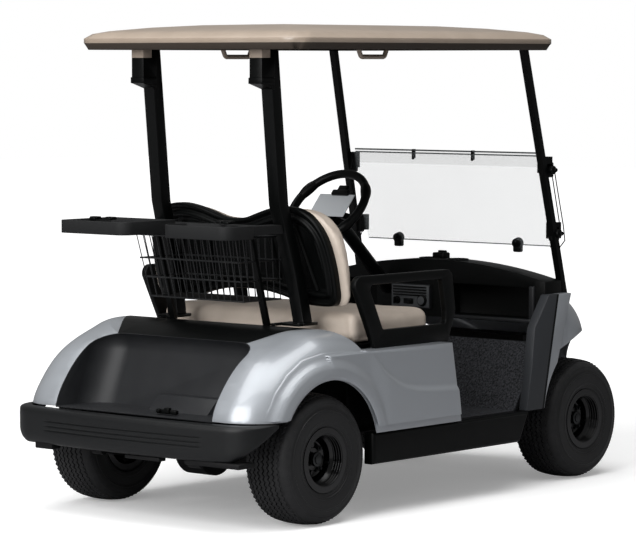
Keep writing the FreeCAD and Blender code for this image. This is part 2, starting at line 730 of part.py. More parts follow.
def rim(label, x, side, outward):
    body = body_of(label + "_body")
    flange = s.rim_flange_radius
    seat = s.rim_seat_radius
    drop = seat - s.rim_drop
    face = s.rim_half_width
    inner_face = face - s.rim_flange_wall
    bore = s.spindle_radius + s.running_gap
    disc_back = s.disc_front - s.rim_wall
    slope = s.rim_drop_half + s.rim_drop
    under = s.rim_wall
    outline = [
        (0, s.hub_front + s.cap_height),
        (0, s.hub_front - s.running_gap),
        (bore, s.hub_front - s.running_gap),
        (bore, -s.hub_back),
        (s.hub_radius, -s.hub_back),
        (s.hub_radius, disc_back),
        (s.disc_ring_radius, disc_back + s.disc_step),
        (drop - under, disc_back - s.disc_step),
        (drop - under, -s.rim_drop_half),
        (seat - under, -slope),
        (seat - under, -face),
        (flange, -face),
        (flange, -inner_face),
        (seat, -inner_face),
        (seat, -slope),
        (drop, -s.rim_drop_half),
        (drop, s.rim_drop_half),
        (seat, slope),
        (seat, inner_face),
        (flange, inner_face),
        (flange, face),
        (seat - under, face),
        (seat - under, slope),
        (drop - under, s.rim_drop_half),
        (drop - under, disc_back),
        (s.disc_ring_radius, disc_back + s.disc_step + s.rim_wall),
        (s.hub_radius, s.disc_front),
        (s.hub_radius, s.hub_front),
        (s.cap_radius, s.hub_front),
        (s.cap_radius - s.rim_wall / 2, s.hub_front + s.cap_height),
    ]
    revolve(body, sketch(body, "XY_Plane", outline, label + "_outline"), label + "_dish")
    ring = body.newObject("Sketcher::SketchObject", label + "_nut")
    ring.AttachmentSupport = [(plane_of(body, "XZ_Plane"), "")]
    ring.MapMode = "FlatFace"
    lift = -s.disc_front
    ring.AttachmentOffset = FreeCAD.Placement(vec(0, 0, lift), FreeCAD.Rotation())
    ring.setExpression("AttachmentOffset.Base.z", lift.text)
    start = vec(s.lug_circle / 2, 0, 0)
    ring.addGeometry(Part.Circle(start, FreeCAD.Vector(0, 0, 1), float(s.lug_radius)), False)
    for kind, value in (("DistanceX", s.lug_circle / 2), ("Radius", s.lug_radius)):
        if kind == "Radius":
            number = ring.addConstraint(Sketcher.Constraint(kind, 0, float(value)))
        else:
            number = ring.addConstraint(Sketcher.Constraint(kind, -1, 1, 0, 3, float(value)))
        ring.setExpression("Constraints[%d]" % number, value.text)
    ring.addConstraint(Sketcher.Constraint("PointOnObject", 0, 3, -1))
    nut = pad(body, ring, s.lug_height, label + "_nut_pad", reverse=True)
    pattern = body.newObject("PartDesign::PolarPattern", label + "_nuts")
    pattern.Originals = [nut]
    pattern.Axis = (ring, ["V_Axis"])
    pattern.Axis = (plane_of(body, "Y_Axis"), [""])
    pattern.Angle = 360
    pattern.Occurrences = 4
    body.Tip = pattern
    turn = FreeCAD.Rotation(Z_AXIS, 0 if outward > 0 else 180)
    keep(label, place(body, x, side, axle_z, turn))


for end, x, tread in (("rear", rear_x, s.rear_tread), ("front", front_x, s.front_tread)):
    for hand, sign in (("left", 1), ("right", -1)):
        tyre("tyre_%s_%s" % (end, hand), x, tread * (sign / 2))
        rim("rim_%s_%s" % (end, hand), x, tread * (sign / 2), sign)


# Chassis: two rails that kick up over the rear axle, cross members, outriggers and towers

def chassis():
    low = s.rail_bottom
    high = low + s.rail_kick
    rail = [
        (ahead(-s.rail_rear_end), high),
        (ahead(s.kick_back), high),
        (ahead(s.kick_front), low),
        (front_x + s.rail_front_end, low),
        (front_x + s.rail_front_end, low + s.rail_height),
        (ahead(s.kick_front), low + s.rail_height),
        (ahead(s.kick_back), high + s.rail_height),
        (ahead(-s.rail_rear_end), high + s.rail_height),
    ]
    body = body_of("rail_body")
    outline = sketch(body, "XZ_Plane", rail, "rail_outline")
    pad(body, outline, s.rail_width, "rail_pad", midplane=True)
    place(body, 0, s.rail_side, 0)
    rail_parts = [body]
    crosses = []
    posts = []
    top = low + s.rail_height
    for number, (reach, side, z) in enumerate((
            (-s.rail_rear_end + s.cross_width / 2, s.rear_cross_side, high + s.rail_height / 2),
            (-s.spring_half_length, s.rear_cross_side, high + s.rail_height / 2),
            (s.spring_half_length, s.rear_cross_side, top - s.cross_height / 2),
            (s.outrigger_one_reach, s.outrigger_side, top - s.cross_height / 2),
            (s.outrigger_two_reach, s.outrigger_side, top - s.cross_height / 2),
            (s.wheelbase + s.rail_front_end - s.cross_width / 2, s.rail_side, top - s.cross_height / 2))):
        x = ahead(reach)
        crosses.append(box("cross_%d" % number, (x - s.cross_width / 2, x + s.cross_width / 2),
                           (-side, side), (z - s.cross_height / 2, z + s.cross_height / 2)))
    arm_side = (s.arm_pivot_side - s.bracket_width / 2, s.arm_pivot_side + s.bracket_width / 2)
    for number, spread in enumerate((-s.arm_pivot_spread, s.arm_pivot_spread)):
        x = front_x + spread
        bracket = box("arm_bracket_%d" % number, (x - s.bracket_length / 2, x + s.bracket_length / 2),
                      arm_side, (s.yoke_lower_height - s.seam, low + s.overrun))
        rail_parts.append(bracket)
    for number, sign in enumerate((-1, 1)):
        x = front_x + s.tower_width * (sign / 2)
        post = box("tower_post_%d" % number, (x - s.tower_wall / 2, x + s.tower_wall / 2),
                   (s.rail_side - s.rail_width / 2, s.rail_side + s.rail_width / 2),
                   (top - s.overrun, s.shock_top_height + s.cross_height))
        posts += [post, mirror(post)]
    cap_x = (front_x - (s.tower_width + s.tower_wall) / 2, front_x + (s.tower_width + s.tower_wall) / 2)
    cap = box("tower_cap", cap_x, (-(s.shock_top_side + s.spring_coil_radius), s.shock_top_side + s.spring_coil_radius),
              (s.shock_top_height, s.shock_top_height + s.cross_height))
    left_rail = fuse("rail_fuse", rail_parts)
    rails = [left_rail, mirror(left_rail)]
    keep("chassis_cross_members", cut("cross_cut", fuse("cross_fuse", crosses), rails))
    keep("shock_tower", cut("tower_cut", fuse("tower_fuse", posts + [cap]), rails))
    both = doc.addObject("Part::Compound", "rail_pair")
    both.Links = rails
    keep("chassis_rails", both)


chassis()


# Rear axle with its gear case and motor, and the leaf springs

def rear_axle():
    tube = rod("axle_tube", s.axle_tube_radius, s.axle_tube_side * 2, rear_x, -s.axle_tube_side, axle_z, "y")
    shaft_end = s.rear_tread / 2 + s.hub_front - s.seam
    shaft = rod("axle_shaft", s.spindle_radius, shaft_end * 2, rear_x, -shaft_end, axle_z, "y")
    case = rod("gear_case", s.gear_case_radius, s.gear_case_width, rear_x, -s.gear_case_width / 2, axle_z, "y")
    motor = rod("motor", s.motor_radius, s.motor_length, ahead(s.motor_reach), -s.motor_length / 2,
                s.motor_height, "y")
    keep("rear_axle", fuse("rear_axle_fuse", [tube, shaft, case, motor]))


def leaf_spring():
    half = s.spring_half_length
    eye_z = axle_z - s.axle_tube_radius + s.spring_sag
    low = vec(rear_x, 0, eye_z - s.spring_sag)
    ends = [vec(rear_x - half, 0, eye_z), vec(rear_x + half, 0, eye_z)]
    top = Part.Arc(ends[0], low, ends[1]).toShape()
    drop = vec(0, 0, -s.spring_thickness)
    under = Part.Arc(ends[0] + drop, low + drop, ends[1] + drop).toShape()
    sides = [Part.makeLine(ends[0], ends[0] + drop), Part.makeLine(ends[1], ends[1] + drop)]
    face = Part.Face(Part.Wire(Part.__sortEdges__([top, under] + sides)))
    pack = face.extrude(vec(0, s.spring_width, 0))
    pack.translate(vec(0, s.spring_side - s.spring_width / 2, 0))
    shape = pack
    behind = s.rail_bottom + s.rail_kick + (s.rail_height - s.cross_height) / 2
    for x, link_top in ((rear_x - half, behind), (rear_x + half, s.rail_bottom + s.rail_height - s.cross_height)):
        eye = Part.makeCylinder(float(s.spring_eye_radius), float(s.spring_width),
                                vec(x, s.spring_side - s.spring_width / 2, eye_z - s.spring_thickness / 2), Y_AXIS)
        link = slab((x - s.spring_eye_radius / 2, x + s.spring_eye_radius / 2),
                    (s.spring_side - s.spring_width / 2, s.spring_side + s.spring_width / 2),
                    (eye_z - s.spring_thickness / 2, link_top))
        shape = shape.fuse([eye, link])
    return shape


rear_axle()
keep_pair("rear_springs", feature("rear_spring", leaf_spring()))
keep("battery_pack", box("battery", (ahead(s.battery_rear_reach), ahead(s.battery_rear_reach + s.battery_length)),
                         (-s.battery_width / 2, s.battery_width / 2),
                         (s.rail_bottom + s.rail_height, s.rail_bottom + s.rail_height + s.battery_height)))


# Front axle: lower arms with yokes, dampers, knuckles and tie rod

yoke_top = s.yoke_lower_height + s.yoke_ear + s.barrel_gap * 2 + s.barrel_length + s.yoke_ear
barrel_low = s.yoke_lower_height + s.yoke_ear + s.barrel_gap
web_side = s.kingpin_side - s.yoke_radius - s.barrel_gap - s.yoke_web


def front_arm():
    pieces = []
    for number, z in enumerate((s.yoke_lower_height, yoke_top - s.yoke_ear)):
        pieces.append(rod("yoke_ear_%d" % number, s.yoke_radius, s.yoke_ear, front_x, s.kingpin_side, z))
        pieces.append(box("yoke_neck_%d" % number, (front_x - s.yoke_radius, front_x + s.yoke_radius),
                          (web_side, s.kingpin_side), (z, z + s.yoke_ear)))
    pieces.append(box("yoke_web", (front_x - s.yoke_radius, front_x + s.yoke_radius),
                      (web_side, web_side + s.yoke_web), (s.yoke_lower_height, yoke_top)))
    pieces.append(rod("kingpin", s.kingpin_radius, yoke_top - s.yoke_lower_height, front_x, s.kingpin_side,
                      s.yoke_lower_height))
    inner = s.arm_pivot_side + s.bracket_width / 2
    plate = [
        (front_x - s.arm_pivot_spread - s.arm_bar / 2, inner),
        (front_x + s.arm_pivot_spread + s.arm_bar / 2, inner),
        (front_x + s.yoke_radius, s.kingpin_side - s.yoke_radius),
        (front_x - s.yoke_radius, s.kingpin_side - s.yoke_radius),
    ]
    body = body_of("lower_arm_body")
    pad(body, sketch(body, "XY_Plane", plate, "lower_arm_outline"), s.yoke_ear, "lower_arm_pad")
    place(body, 0, 0, s.yoke_lower_height)
    pieces.append(body)
    return fuse("front_arm", pieces)


def front_shock():
    foot = vec(front_x, web_side - s.spring_coil_radius, s.yoke_lower_height + s.yoke_ear)
    head = vec(front_x, s.shock_top_side, s.shock_top_height)
    line = head - foot
    run = line.Length
    tube_share = 0.5
    coil_low_share = 0.3
    coil_high_share = 0.88
    tube = Part.makeCylinder(float(s.shock_radius), run * tube_share, foot, line)
    stem = Part.makeCylinder(float(s.shock_rod_radius), run, foot, line)
    coil = Part.makeCylinder(float(s.spring_coil_radius), run * (coil_high_share - coil_low_share),
                             foot + line * coil_low_share, line)
    shape = tube.fuse([stem, coil])
    below = slab((front_x - s.tower_width, front_x + s.tower_width), (0, s.kingpin_side),
                 (s.yoke_lower_height, s.yoke_lower_height + s.yoke_ear))
    above = slab((front_x - s.tower_width, front_x + s.tower_width), (0, s.kingpin_side),
                 (s.shock_top_height, s.shock_top_height + s.tower_width))
    return shape.cut([below, above])


def knuckle():
    block = s.spindle_block
    barrel = rod("knuckle_barrel", s.yoke_radius, s.barrel_length, front_x, s.kingpin_side, barrel_low)
    root = box("knuckle_block", (front_x - block / 2, front_x + block / 2),
               (s.kingpin_side, s.front_tread / 2 - s.hub_back - s.seam),
               (axle_z - block, axle_z + block / 2))
    spindle_start = s.kingpin_side + s.yoke_radius
    spindle = rod("spindle", s.spindle_radius, s.front_tread / 2 + s.hub_front - s.seam - spindle_start,
                  front_x, spindle_start, axle_z, "y")
    arm = box("steering_arm", (front_x - s.steer_arm - s.yoke_radius / 2, front_x),
              (s.kingpin_side - s.yoke_radius / 2, s.kingpin_side + s.yoke_radius / 2),
              (s.steer_arm_height, s.steer_arm_height + s.steer_arm_thickness))
    whole = fuse("knuckle_solid", [barrel, root, spindle, arm])
    bore = rod("knuckle_bore", s.kingpin_radius + s.running_gap, s.barrel_length + s.overrun * 2,
               front_x, s.kingpin_side, barrel_low - s.overrun)
    return cut("knuckle_cut", whole, [bore])


keep_pair("front_arms", front_arm())
keep_pair("front_dampers", feature("front_damper", front_shock()))
left_knuckle = knuckle()
keep("knuckle_left", left_knuckle)
keep("knuckle_right", mirror(left_knuckle))
tie_z = s.steer_arm_height + s.steer_arm_thickness + s.tie_rod_gap + s.tie_rod_radius
keep("tie_rod", rod("tie_rod_bar", s.tie_rod_radius, s.kingpin_side * 2, front_x - s.steer_arm,
                    -s.kingpin_side, tie_z, "y"))


# Steering wheel and column

slope = math.radians(float(s.wheel_slope))
column_run = FreeCAD.Vector(math.cos(slope), 0, -math.sin(slope))
wheel_centre = vec(ahead(s.wheel_reach), s.wheel_side, s.wheel_height)


def steering_wheel():
    ring = Part.makeTorus(float(s.wheel_ring_radius), float(s.wheel_grip_radius), wheel_centre, column_run)
    hub_top = wheel_centre + column_run * float(s.wheel_dish - s.wheel_hub_height)
    hub = Part.makeCylinder(float(s.wheel_hub_radius), float(s.wheel_hub_height), hub_top, column_run)
    pin = Part.makeCylinder(float(s.column_pin_radius), float(s.wheel_hub_height + s.column_gap + s.column_pin_length),
                            hub_top, column_run)
    up = FreeCAD.Vector(math.sin(slope), 0, math.cos(slope))
    shape = ring.fuse([hub, pin])
    spoke_angles = (-18, 198, 270)
    for angle in spoke_angles:
        turn = math.radians(angle)
        out = Y_AXIS * math.cos(turn) + up * math.sin(turn)
        across = column_run.cross(out)
        start = hub_top + out * (float(s.wheel_hub_radius) / 2) + column_run * float(s.spoke_thickness)
        end = wheel_centre + out * float(s.wheel_ring_radius)
        run = end - start
        half = across * (float(s.spoke_width) / 2)
        thick = column_run * float(s.spoke_thickness)
        face = Part.Face(Part.makePolygon([start - half, start + half, end + half, end - half, start - half]))
        shape = shape.fuse(face.extrude(thick))
    return shape.removeSplitter()


def steering_column():
    start = wheel_centre + column_run * float(s.wheel_dish + s.column_gap)
    tube = Part.makeCylinder(float(s.column_radius), float(s.column_length), start, column_run)
    bore = Part.makeCylinder(float(s.column_pin_radius + s.running_gap), float(s.column_pin_length + s.column_gap),
                             start, column_run)
    return tube.cut(bore)


keep("steering_wheel", feature("steering_wheel_shape", steering_wheel()))
keep("steering_column", feature("steering_column_shape", steering_column()))


# Floor pan and mat: flat, then turned up into the toe board

def floor_sheet(low, wall, rear, side, top_trim):
    run = float(s.toe_run)
    rise = float(s.toe_rise)
    length = math.hypot(run, rise)
    normal = (-rise / length, run / length)
    bend = math.tan(math.atan2(rise, run) / 2)
    inset = float(wall)
    toe = float(ahead(s.toe_reach)) - (float(low) - float(s.floor_height)) * bend
    end_share = 1 - float(top_trim) / length
    top_x = toe + run * end_share
    top_z = float(low) + rise * end_share
    outline = [
        (ahead(rear), low),
        (toe, low),
        (top_x, top_z),
        (top_x + normal[0] * inset, top_z + normal[1] * inset),
        (toe - inset * bend, low + wall),
        (ahead(rear), low + wall),
    ]
    return side_prism(outline, -side, side)


keep("floor_pan", feature("floor_pan_shape", floor_sheet(s.floor_height, s.floor_wall, s.floor_rear_reach,
                                                        s.floor_side, 0)))
mat_low = s.floor_height + s.floor_wall
keep("floor_mat", feature("floor_mat_shape", floor_sheet(mat_low, s.mat_wall, s.seat_base_front + s.seam,
                                                        s.floor_side - s.overrun, s.overrun)))


# Rockers under the side panels and the doorways

def rocker():
    low = s.rocker_top_height - s.rocker_height
    outline = [
        (ahead(s.rocker_rear_reach), low),
        (ahead(s.rocker_front_reach), low),
        (ahead(s.rocker_front_reach + s.rocker_rake), s.rocker_top_height),
        (ahead(s.rocker_rear_reach), s.rocker_top_height),
    ]
    body = body_of("rocker_body")
    pad(body, sketch(body, "XZ_Plane", outline, "rocker_outline"), s.rocker_depth, "rocker_pad")
    fillet = body.newObject("PartDesign::Fillet", "rocker_fillet")
    doc.recompute()
    pad_shape = doc.getObject("rocker_pad").Shape
    outer = [index for index, edge in enumerate(pad_shape.Edges, start=1)
             if all(abs(vertex.Y + float(s.rocker_depth)) < float(s.running_gap) for vertex in edge.Vertexes)]
    fillet.Base = (doc.getObject("rocker_pad"), ["Edge%d" % index for index in outer])
    bind(fillet, Radius=s.rocker_round)
    body.Tip = fillet
    return place(body, 0, -s.outrigger_side, 0)


right_rocker = rocker()
keep_pair("rockers", right_rocker)


# Rear body: one haunch shape, cut by the bagwell, the deck and the wheel arches

# Direction in which the haunch leaves the fender's foot, and points along and up the curve
HAUNCH_START = FreeCAD.Vector(0.2, 0, 1)
HAUNCH_SHARES = ((0, 0), (0.104, 0.312), (0.373, 0.698), (0.742, 0.93), (1, 1))


def haunch_outline(inset):
    """Side outline of the rear body: a curve from the fender's foot up to the flat deck."""
    foot_x = float(ahead(-s.haunch_foot_reach))
    foot_z = float(s.haunch_foot_height)
    run = -foot_x + float(ahead(s.haunch_crest_reach))
    rise = float(s.haunch_top_height) - foot_z
    points = [FreeCAD.Vector(foot_x + run * a, 0, foot_z + rise * b) for a, b in HAUNCH_SHARES]
    curve = Part.BSplineCurve()
    curve.interpolate(Points=points, InitialTangent=HAUNCH_START, FinalTangent=X_AXIS)
    if inset:
        samples = len(HAUNCH_SHARES)
        first, last = curve.FirstParameter, curve.LastParameter
        moved = []
        for index in range(samples):
            at = first + (last - first) * index / (samples - 1)
            tangent = curve.tangent(at)[0]
            moved.append(curve.value(at) + FreeCAD.Vector(tangent.z, 0, -tangent.x) * float(inset))
        curve = Part.BSplineCurve()
        curve.interpolate(Points=moved, InitialTangent=HAUNCH_START, FinalTangent=X_AXIS)
    start = curve.StartPoint
    end = curve.EndPoint
    front = float(ahead(s.haunch_front_reach)) + (float(s.overrun) if inset else 0)
    low = foot_z - (float(s.overrun) if inset else 0)
    corners = [end, FreeCAD.Vector(front, 0, end.z), FreeCAD.Vector(front, 0, low),
               FreeCAD.Vector(start.x, 0, low), start]
    edges = [curve.toShape()]
    for a, b in zip(corners[:-1], corners[1:]):
        if (b - a).Length > float(s.running_gap):
            edges.append(Part.makeLine(a, b))
    return Part.Face(Part.Wire(edges))


def haunch_solid(inset):
    side = float(s.body_side - inset)
    face = haunch_outline(inset)
    face.translate(FreeCAD.Vector(0, -side, 0))
    solid = face.extrude(FreeCAD.Vector(0, 2 * side, 0))
    top = float(s.haunch_foot_height) + float(s.overrun)
    tolerance = float(s.running_gap)

    def outer_top(edge):
        flat = all(abs(abs(v.Y) - side) < tolerance for v in edge.Vertexes)
        return flat and max(v.Z for v in edge.Vertexes) > top and not along(edge, Z_AXIS)

    return round_edges(solid, s.haunch_round - inset, outer_top)


def rear_arch(extra, side_low, side_high):
    return Part.makeCylinder(float(s.rear_arch_radius + extra), float(side_high - side_low),
                             vec(ahead(s.rear_arch_reach), side_low, s.rear_arch_height), Y_AXIS)


def well_solid(grow):
    """Inside of the bagwell: a rounded pocket with a leaning front wall."""
    low = s.well_floor_height - grow
    high = s.well_top_height + grow
    side = s.well_side + grow
    back = ahead(-s.rear_overhang)
    outline = [
        (back, low),
        (ahead(-s.well_foot_reach) + grow, low),
        (ahead(-s.well_top_reach) + grow, high),
        (back, high),
    ]
    solid = side_prism(outline, -side, side)
    lean = vec(s.well_foot_reach - s.well_top_reach, 0, s.well_top_height - s.well_floor_height)
    lean.normalize()
    solid = round_edges(solid, s.well_round + grow, lambda edge: along(edge, lean))

    def upper(edge):
        return along(edge, X_AXIS) and edge.CenterOfMass.z > float(s.well_top_height) - float(s.overrun)

    return round_edges(solid, s.well_corner + grow, upper)


def port_housing():
    """A low ramp-backed housing for the charging port at the foot of the bagwell's wall."""
    low = s.well_floor_height
    wall = ahead(-s.well_foot_reach)
    outline = [(wall - s.port_foot, low - s.panel_wall / 2), (wall + s.port_crest, low - s.panel_wall / 2),
               (wall + s.port_crest, low + s.port_height), (wall - s.port_crest, low + s.port_height)]
    solid = side_prism(outline, -s.port_right, s.port_left)
    top = float(low + s.port_height) - float(s.overrun)
    return round_edges(solid, s.port_round, lambda edge: edge.CenterOfMass.z > top and edge.CenterOfMass.x < float(wall))


def deck_region():
    """Plan of the black deck between the silver fenders, as an upright prism."""
    low = s.well_top_height - s.haunch_round / 2
    high = s.haunch_top_height + s.overrun
    back = ahead(-s.well_top_reach)
    points = [
        (back - s.overrun * 5, s.well_side - s.well_corner, low),
        (ahead(s.haunch_crest_reach), s.deck_side - s.cross_width / 2, low),
        (ahead(s.haunch_front_reach + s.overrun), s.deck_side + s.cross_width, low),
    ]
    mirrored = [(x, -y, z) for x, y, z in reversed(points)]
    return prism(points + mirrored, (0, 0, high - low))


def rear_panels():
    outer = haunch_solid(0)
    shell = outer.cut(haunch_solid(float(s.panel_wall)))
    arches = [rear_arch(0, s.body_side / 2, s.body_side + s.overrun),
              rear_arch(0, -s.body_side - s.overrun, -s.body_side / 2)]
    shell = shell.cut(arches)
    well = well_solid(Size(0, "0"))
    well_outer = well_solid(s.panel_wall)
    sill = slab((ahead(-s.haunch_foot_reach), ahead(0)), (-s.well_side - s.panel_wall, s.well_side + s.panel_wall),
                (s.well_floor_height - s.panel_wall, s.well_floor_height + s.overrun))
    liner = well_outer.cut(well).common(outer.fuse(sill)).fuse(port_housing().common(outer))
    region = deck_region()
    fender = shell.cut([well_outer, region])
    deck = shell.common(region).cut(well_outer)
    left = slab((ahead(-s.rear_overhang), ahead(s.wheelbase)), (0, s.body_side * 2), (0, s.roof_top_height))
    fender_left = fender.common(left)
    return fender_left, deck, liner


def side_panel():
    """Silver panel ahead of the rear wheel, with its edges turned inwards."""
    top = s.side_panel_top
    low = s.rocker_top_height + s.seam
    outline = [
        (ahead(s.rear_arch_reach), low),
        (ahead(s.side_panel_front + s.side_panel_lean), low),
        (ahead(s.side_panel_front), top),
        (ahead(s.rear_arch_reach), top),
    ]
    side = s.body_side
    solid = side_prism(outline, side - s.side_panel_depth, side)
    inner_low = [(x - (s.panel_wall if index in (1, 2) else 0), z) for index, (x, z) in enumerate(outline)]
    hollow = side_prism([(x, z - (s.panel_wall if float(z) > float(low) else 0)) for x, z in inner_low],
                        side - s.side_panel_depth - s.overrun, side - s.panel_wall)
    cut_low = slab((ahead(0), ahead(s.wheelbase)), (side - s.side_panel_depth - s.overrun, side - s.panel_wall),
                   (low - s.overrun, low + s.overrun))
    return solid.cut([hollow, cut_low])


fender_left, deck, liner = rear_panels()
arch_cut = rear_arch(0, s.body_side / 2, s.body_side + s.overrun)
inner_haunch = haunch_solid(float(s.panel_wall))
panel = side_panel().cut([arch_cut, inner_haunch])
body_left = fender_left.fuse(panel)
keep_pair("rear_body", feature("rear_body_left", body_left))
keep("rear_deck", feature("rear_deck_shape", deck))
keep("bagwell", feature("bagwell_shape", liner))


# Rear bumper: a bowed moulding with rounded ends, open below and ahead

def bumper_face(inset):
    side = float(s.body_side - inset)
    rear = float(ahead(-s.rear_overhang)) + float(inset)
    bow = float(s.bumper_bow)
    corner = float(s.bumper_corner - inset)
    front = float(ahead(-s.bumper_front_reach))
    z = float(s.bumper_top - s.bumper_height)
    wide = float(s.body_side - s.bumper_corner)
    bow_radius = (wide * wide / bow + bow) / 2 - float(inset)
    corner_side = side - corner
    corner_x = rear + bow_radius - math.sqrt((bow_radius - corner) ** 2 - corner_side ** 2)
    out = FreeCAD.Vector(corner_x - rear - bow_radius, corner_side, 0).normalize()
    mid = (out + Y_AXIS).normalize()

    def corner_point(direction, sign):
        return FreeCAD.Vector(corner_x + direction.x * corner, sign * (corner_side + direction.y * corner), z)

    face = Part.Arc(corner_point(out, 1), FreeCAD.Vector(rear, 0, z), corner_point(out, -1)).toShape()
    edges = [face]
    for sign in (-1, 1):
        turn = corner_point(out, sign)
        crest = corner_point(mid, sign)
        end = corner_point(Y_AXIS, sign)
        tip = FreeCAD.Vector(front, sign * side, z)
        edges += [Part.Arc(turn, crest, end).toShape(), Part.makeLine(end, tip)]
    edges.append(Part.makeLine(FreeCAD.Vector(front, side, z), FreeCAD.Vector(front, -side, z)))
    return Part.Face(Part.Wire(Part.__sortEdges__(edges)))


def bumper_end_cut():
    """The space behind a bulged slanted edge that ends the bumper's sides."""
    front = ahead(-s.bumper_front_reach)
    side = -s.body_side - s.overrun
    low = s.bumper_top - s.bumper_height - s.overrun
    high = vec(front, side, s.bumper_top - s.bumper_cut_drop)
    foot = vec(front - s.bumper_cut_reach, side, s.bumper_top - s.bumper_height)
    across = (foot - high).normalize()
    bulge = vec(-across.z, 0, across.x) * float(s.bumper_cut_bulge)
    bulge = bulge if bulge.x > 0 else -bulge
    edge = Part.Arc(high, (high + foot) * 0.5 + bulge, foot).toShape()
    corners = [foot, vec(front - s.bumper_cut_reach, side, low), vec(front + s.overrun, side, low),
               vec(front + s.overrun, side, s.bumper_top - s.bumper_cut_drop), high]
    lines = [Part.makeLine(a, b) for a, b in zip(corners[:-1], corners[1:])]
    return Part.Face(Part.Wire([edge] + lines)).extrude(vec(0, (s.body_side + s.overrun) * 2, 0))


def rear_bumper():
    outer = bumper_face(0).extrude(vec(0, 0, s.bumper_height))
    top = float(s.bumper_top)
    low = top - float(s.bumper_height)
    tolerance = float(s.running_gap)
    front = float(ahead(-s.bumper_front_reach))

    def rim_edge(edge):
        level = [v.Z for v in edge.Vertexes]
        flat = all(abs(z - top) < tolerance for z in level) or all(abs(z - low) < tolerance for z in level)
        return flat and edge.CenterOfMass.x < front - float(s.overrun)

    outer = round_edges(outer, s.bumper_round, rim_edge)
    inner = bumper_face(float(s.bumper_wall)).extrude(vec(0, 0, s.bumper_height))
    inner.translate(vec(0, 0, -s.bumper_wall))
    rear_rail = s.rail_rear_end
    stays = []
    for sign in (-1, 1):
        middle = s.rail_side * sign
        stays.append(slab((ahead(-s.rear_overhang + s.bumper_wall / 2), ahead(-rear_rail)),
                          (middle - s.rail_width / 2, middle + s.rail_width / 2),
                          (s.bumper_top - s.bumper_wall - s.bumper_stay_height, s.bumper_top - s.bumper_wall)))
    return outer.cut([inner, bumper_end_cut()]).fuse(stays)


keep("rear_bumper", feature("rear_bumper_shape", rear_bumper()))


# Rear struts with head blocks and foot plates

head_top = s.roof_skirt_height + s.roof_wall


def strut_head():
    """A block behind the strut's top, with a lip that stands out round its lower end."""
    side = s.rear_strut_side
    front = ahead(s.rear_strut_top_reach)
    rear = front - s.rear_strut_depth / 2 - s.strut_head_length
    half = s.strut_head_width / 2
    top = s.roof_skirt_height - s.roof_boss_height
    low = top - s.strut_head_height
    lip = s.strut_lip
    block = slab((rear, front), (side - half, side + half), (low, top))
    band = slab((rear - lip, front - lip), (side - half - lip, side + half + lip), (low - s.strut_lip_height, low))
    rear_low = low - s.strut_lip_height
    taper = side_prism([(rear, rear_low), (front, rear_low), (front, rear_low - s.strut_lip_height)],
                       side - half, side + half)
    return [block, band, taper]


def rear_strut():
    side = s.rear_strut_side
    half = s.rear_strut_depth / 2
    wide = s.rear_strut_width / 2
    run = s.rear_strut_knee_height - s.haunch_top_height
    stations = (
        (s.rear_strut_top_reach, side, s.roof_skirt_height),
        (s.rear_strut_bend_reach, side, s.rear_strut_bend_height),
        (s.rear_strut_knee_reach, side + s.rear_strut_splay / 2, s.rear_strut_knee_height),
        (s.rear_strut_foot_reach, side + s.rear_strut_splay, s.haunch_top_height),
    )
    rings = []
    for reach, middle, z in stations:
        x = ahead(reach)
        rings.append(polygon([(x - half, middle - wide, z), (x + half, middle - wide, z),
                              (x + half, middle + wide, z), (x - half, middle + wide, z)]))
    tube = Part.makeLoft(rings, True, True)
    foot_x = ahead(s.rear_strut_foot_reach)
    foot_side = side + s.rear_strut_splay
    plate = slab((foot_x - s.strut_foot_size / 2, ahead(s.haunch_front_reach)),
                 (foot_side - s.strut_foot_size / 2, foot_side + s.strut_foot_size / 2),
                 (s.haunch_top_height, s.haunch_top_height + s.strut_foot_wall))
    return tube.fuse([plate] + strut_head())


def front_strut():
    top = vec(ahead(s.front_strut_top_reach), s.front_strut_side, s.roof_skirt_height)
    foot = vec(ahead(s.front_strut_foot_reach), s.front_strut_side + s.front_strut_flare, s.front_strut_foot_height)
    run = (foot - top).normalize()
    return square_tube([top - run * float(s.front_strut_width), foot + run * float(s.clamp_length)],
                       s.front_strut_width, s.front_strut_depth)


keep_pair("rear_struts", feature("rear_strut_left", rear_strut()))


# Seat base, seat board with its cushion, seat back shell with its cushion



def seat_base():
    low = s.floor_height + s.floor_wall
    top = s.seat_board_height
    wall = s.seat_base_wall
    front = ahead(s.seat_base_front)
    rear = ahead(s.haunch_front_reach + s.seam)
    solid = slab((rear, front), (-s.seat_base_side, s.seat_base_side), (low, top))
    inner = slab((rear + wall, front - wall), (-s.seat_base_side + wall, s.seat_base_side - wall),
                 (low - s.overrun, top + s.overrun))
    rim_band = slab((rear, front), (-s.seat_base_side, s.seat_base_side), (top - wall, top))
    rim = s.seat_base_rim
    hole = slab((rear + rim, front - rim), (-s.seat_base_side + rim, s.seat_base_side - rim),
                (top - wall - s.overrun, top + s.overrun))
    shape = solid.cut(inner).fuse(rim_band.cut(hole))
    clear = s.rear_tread / 2 - s.tyre_half_width - s.overrun * 2
    shape = shape.cut([rear_arch(0, clear, s.body_side), rear_arch(0, -s.body_side, -clear)])
    return shape


def seat_board():
    low = s.seat_board_height
    shape = slab((ahead(s.seat_rear_reach), ahead(s.seat_front_reach - s.overrun)),
                 (-s.seat_side + s.overrun, s.seat_side - s.overrun), (low, low + s.seat_board_wall))
    return shape


def seat_cushion():
    low = s.seat_board_height + s.seat_board_wall + s.soft_gap
    solid = slab((ahead(s.seat_rear_reach), ahead(s.seat_front_reach)), (-s.seat_side, s.seat_side),
                 (low, low + s.seat_thickness))
    low_z = float(low) + float(s.overrun)
    return round_edges(solid, s.seat_round, lambda edge: max(v.Z for v in edge.Vertexes) > low_z)


# Across from hump to side, and up from the corner to the top
BACK_SHARES = ((0.8, 0.62), (0.5, 0.93))


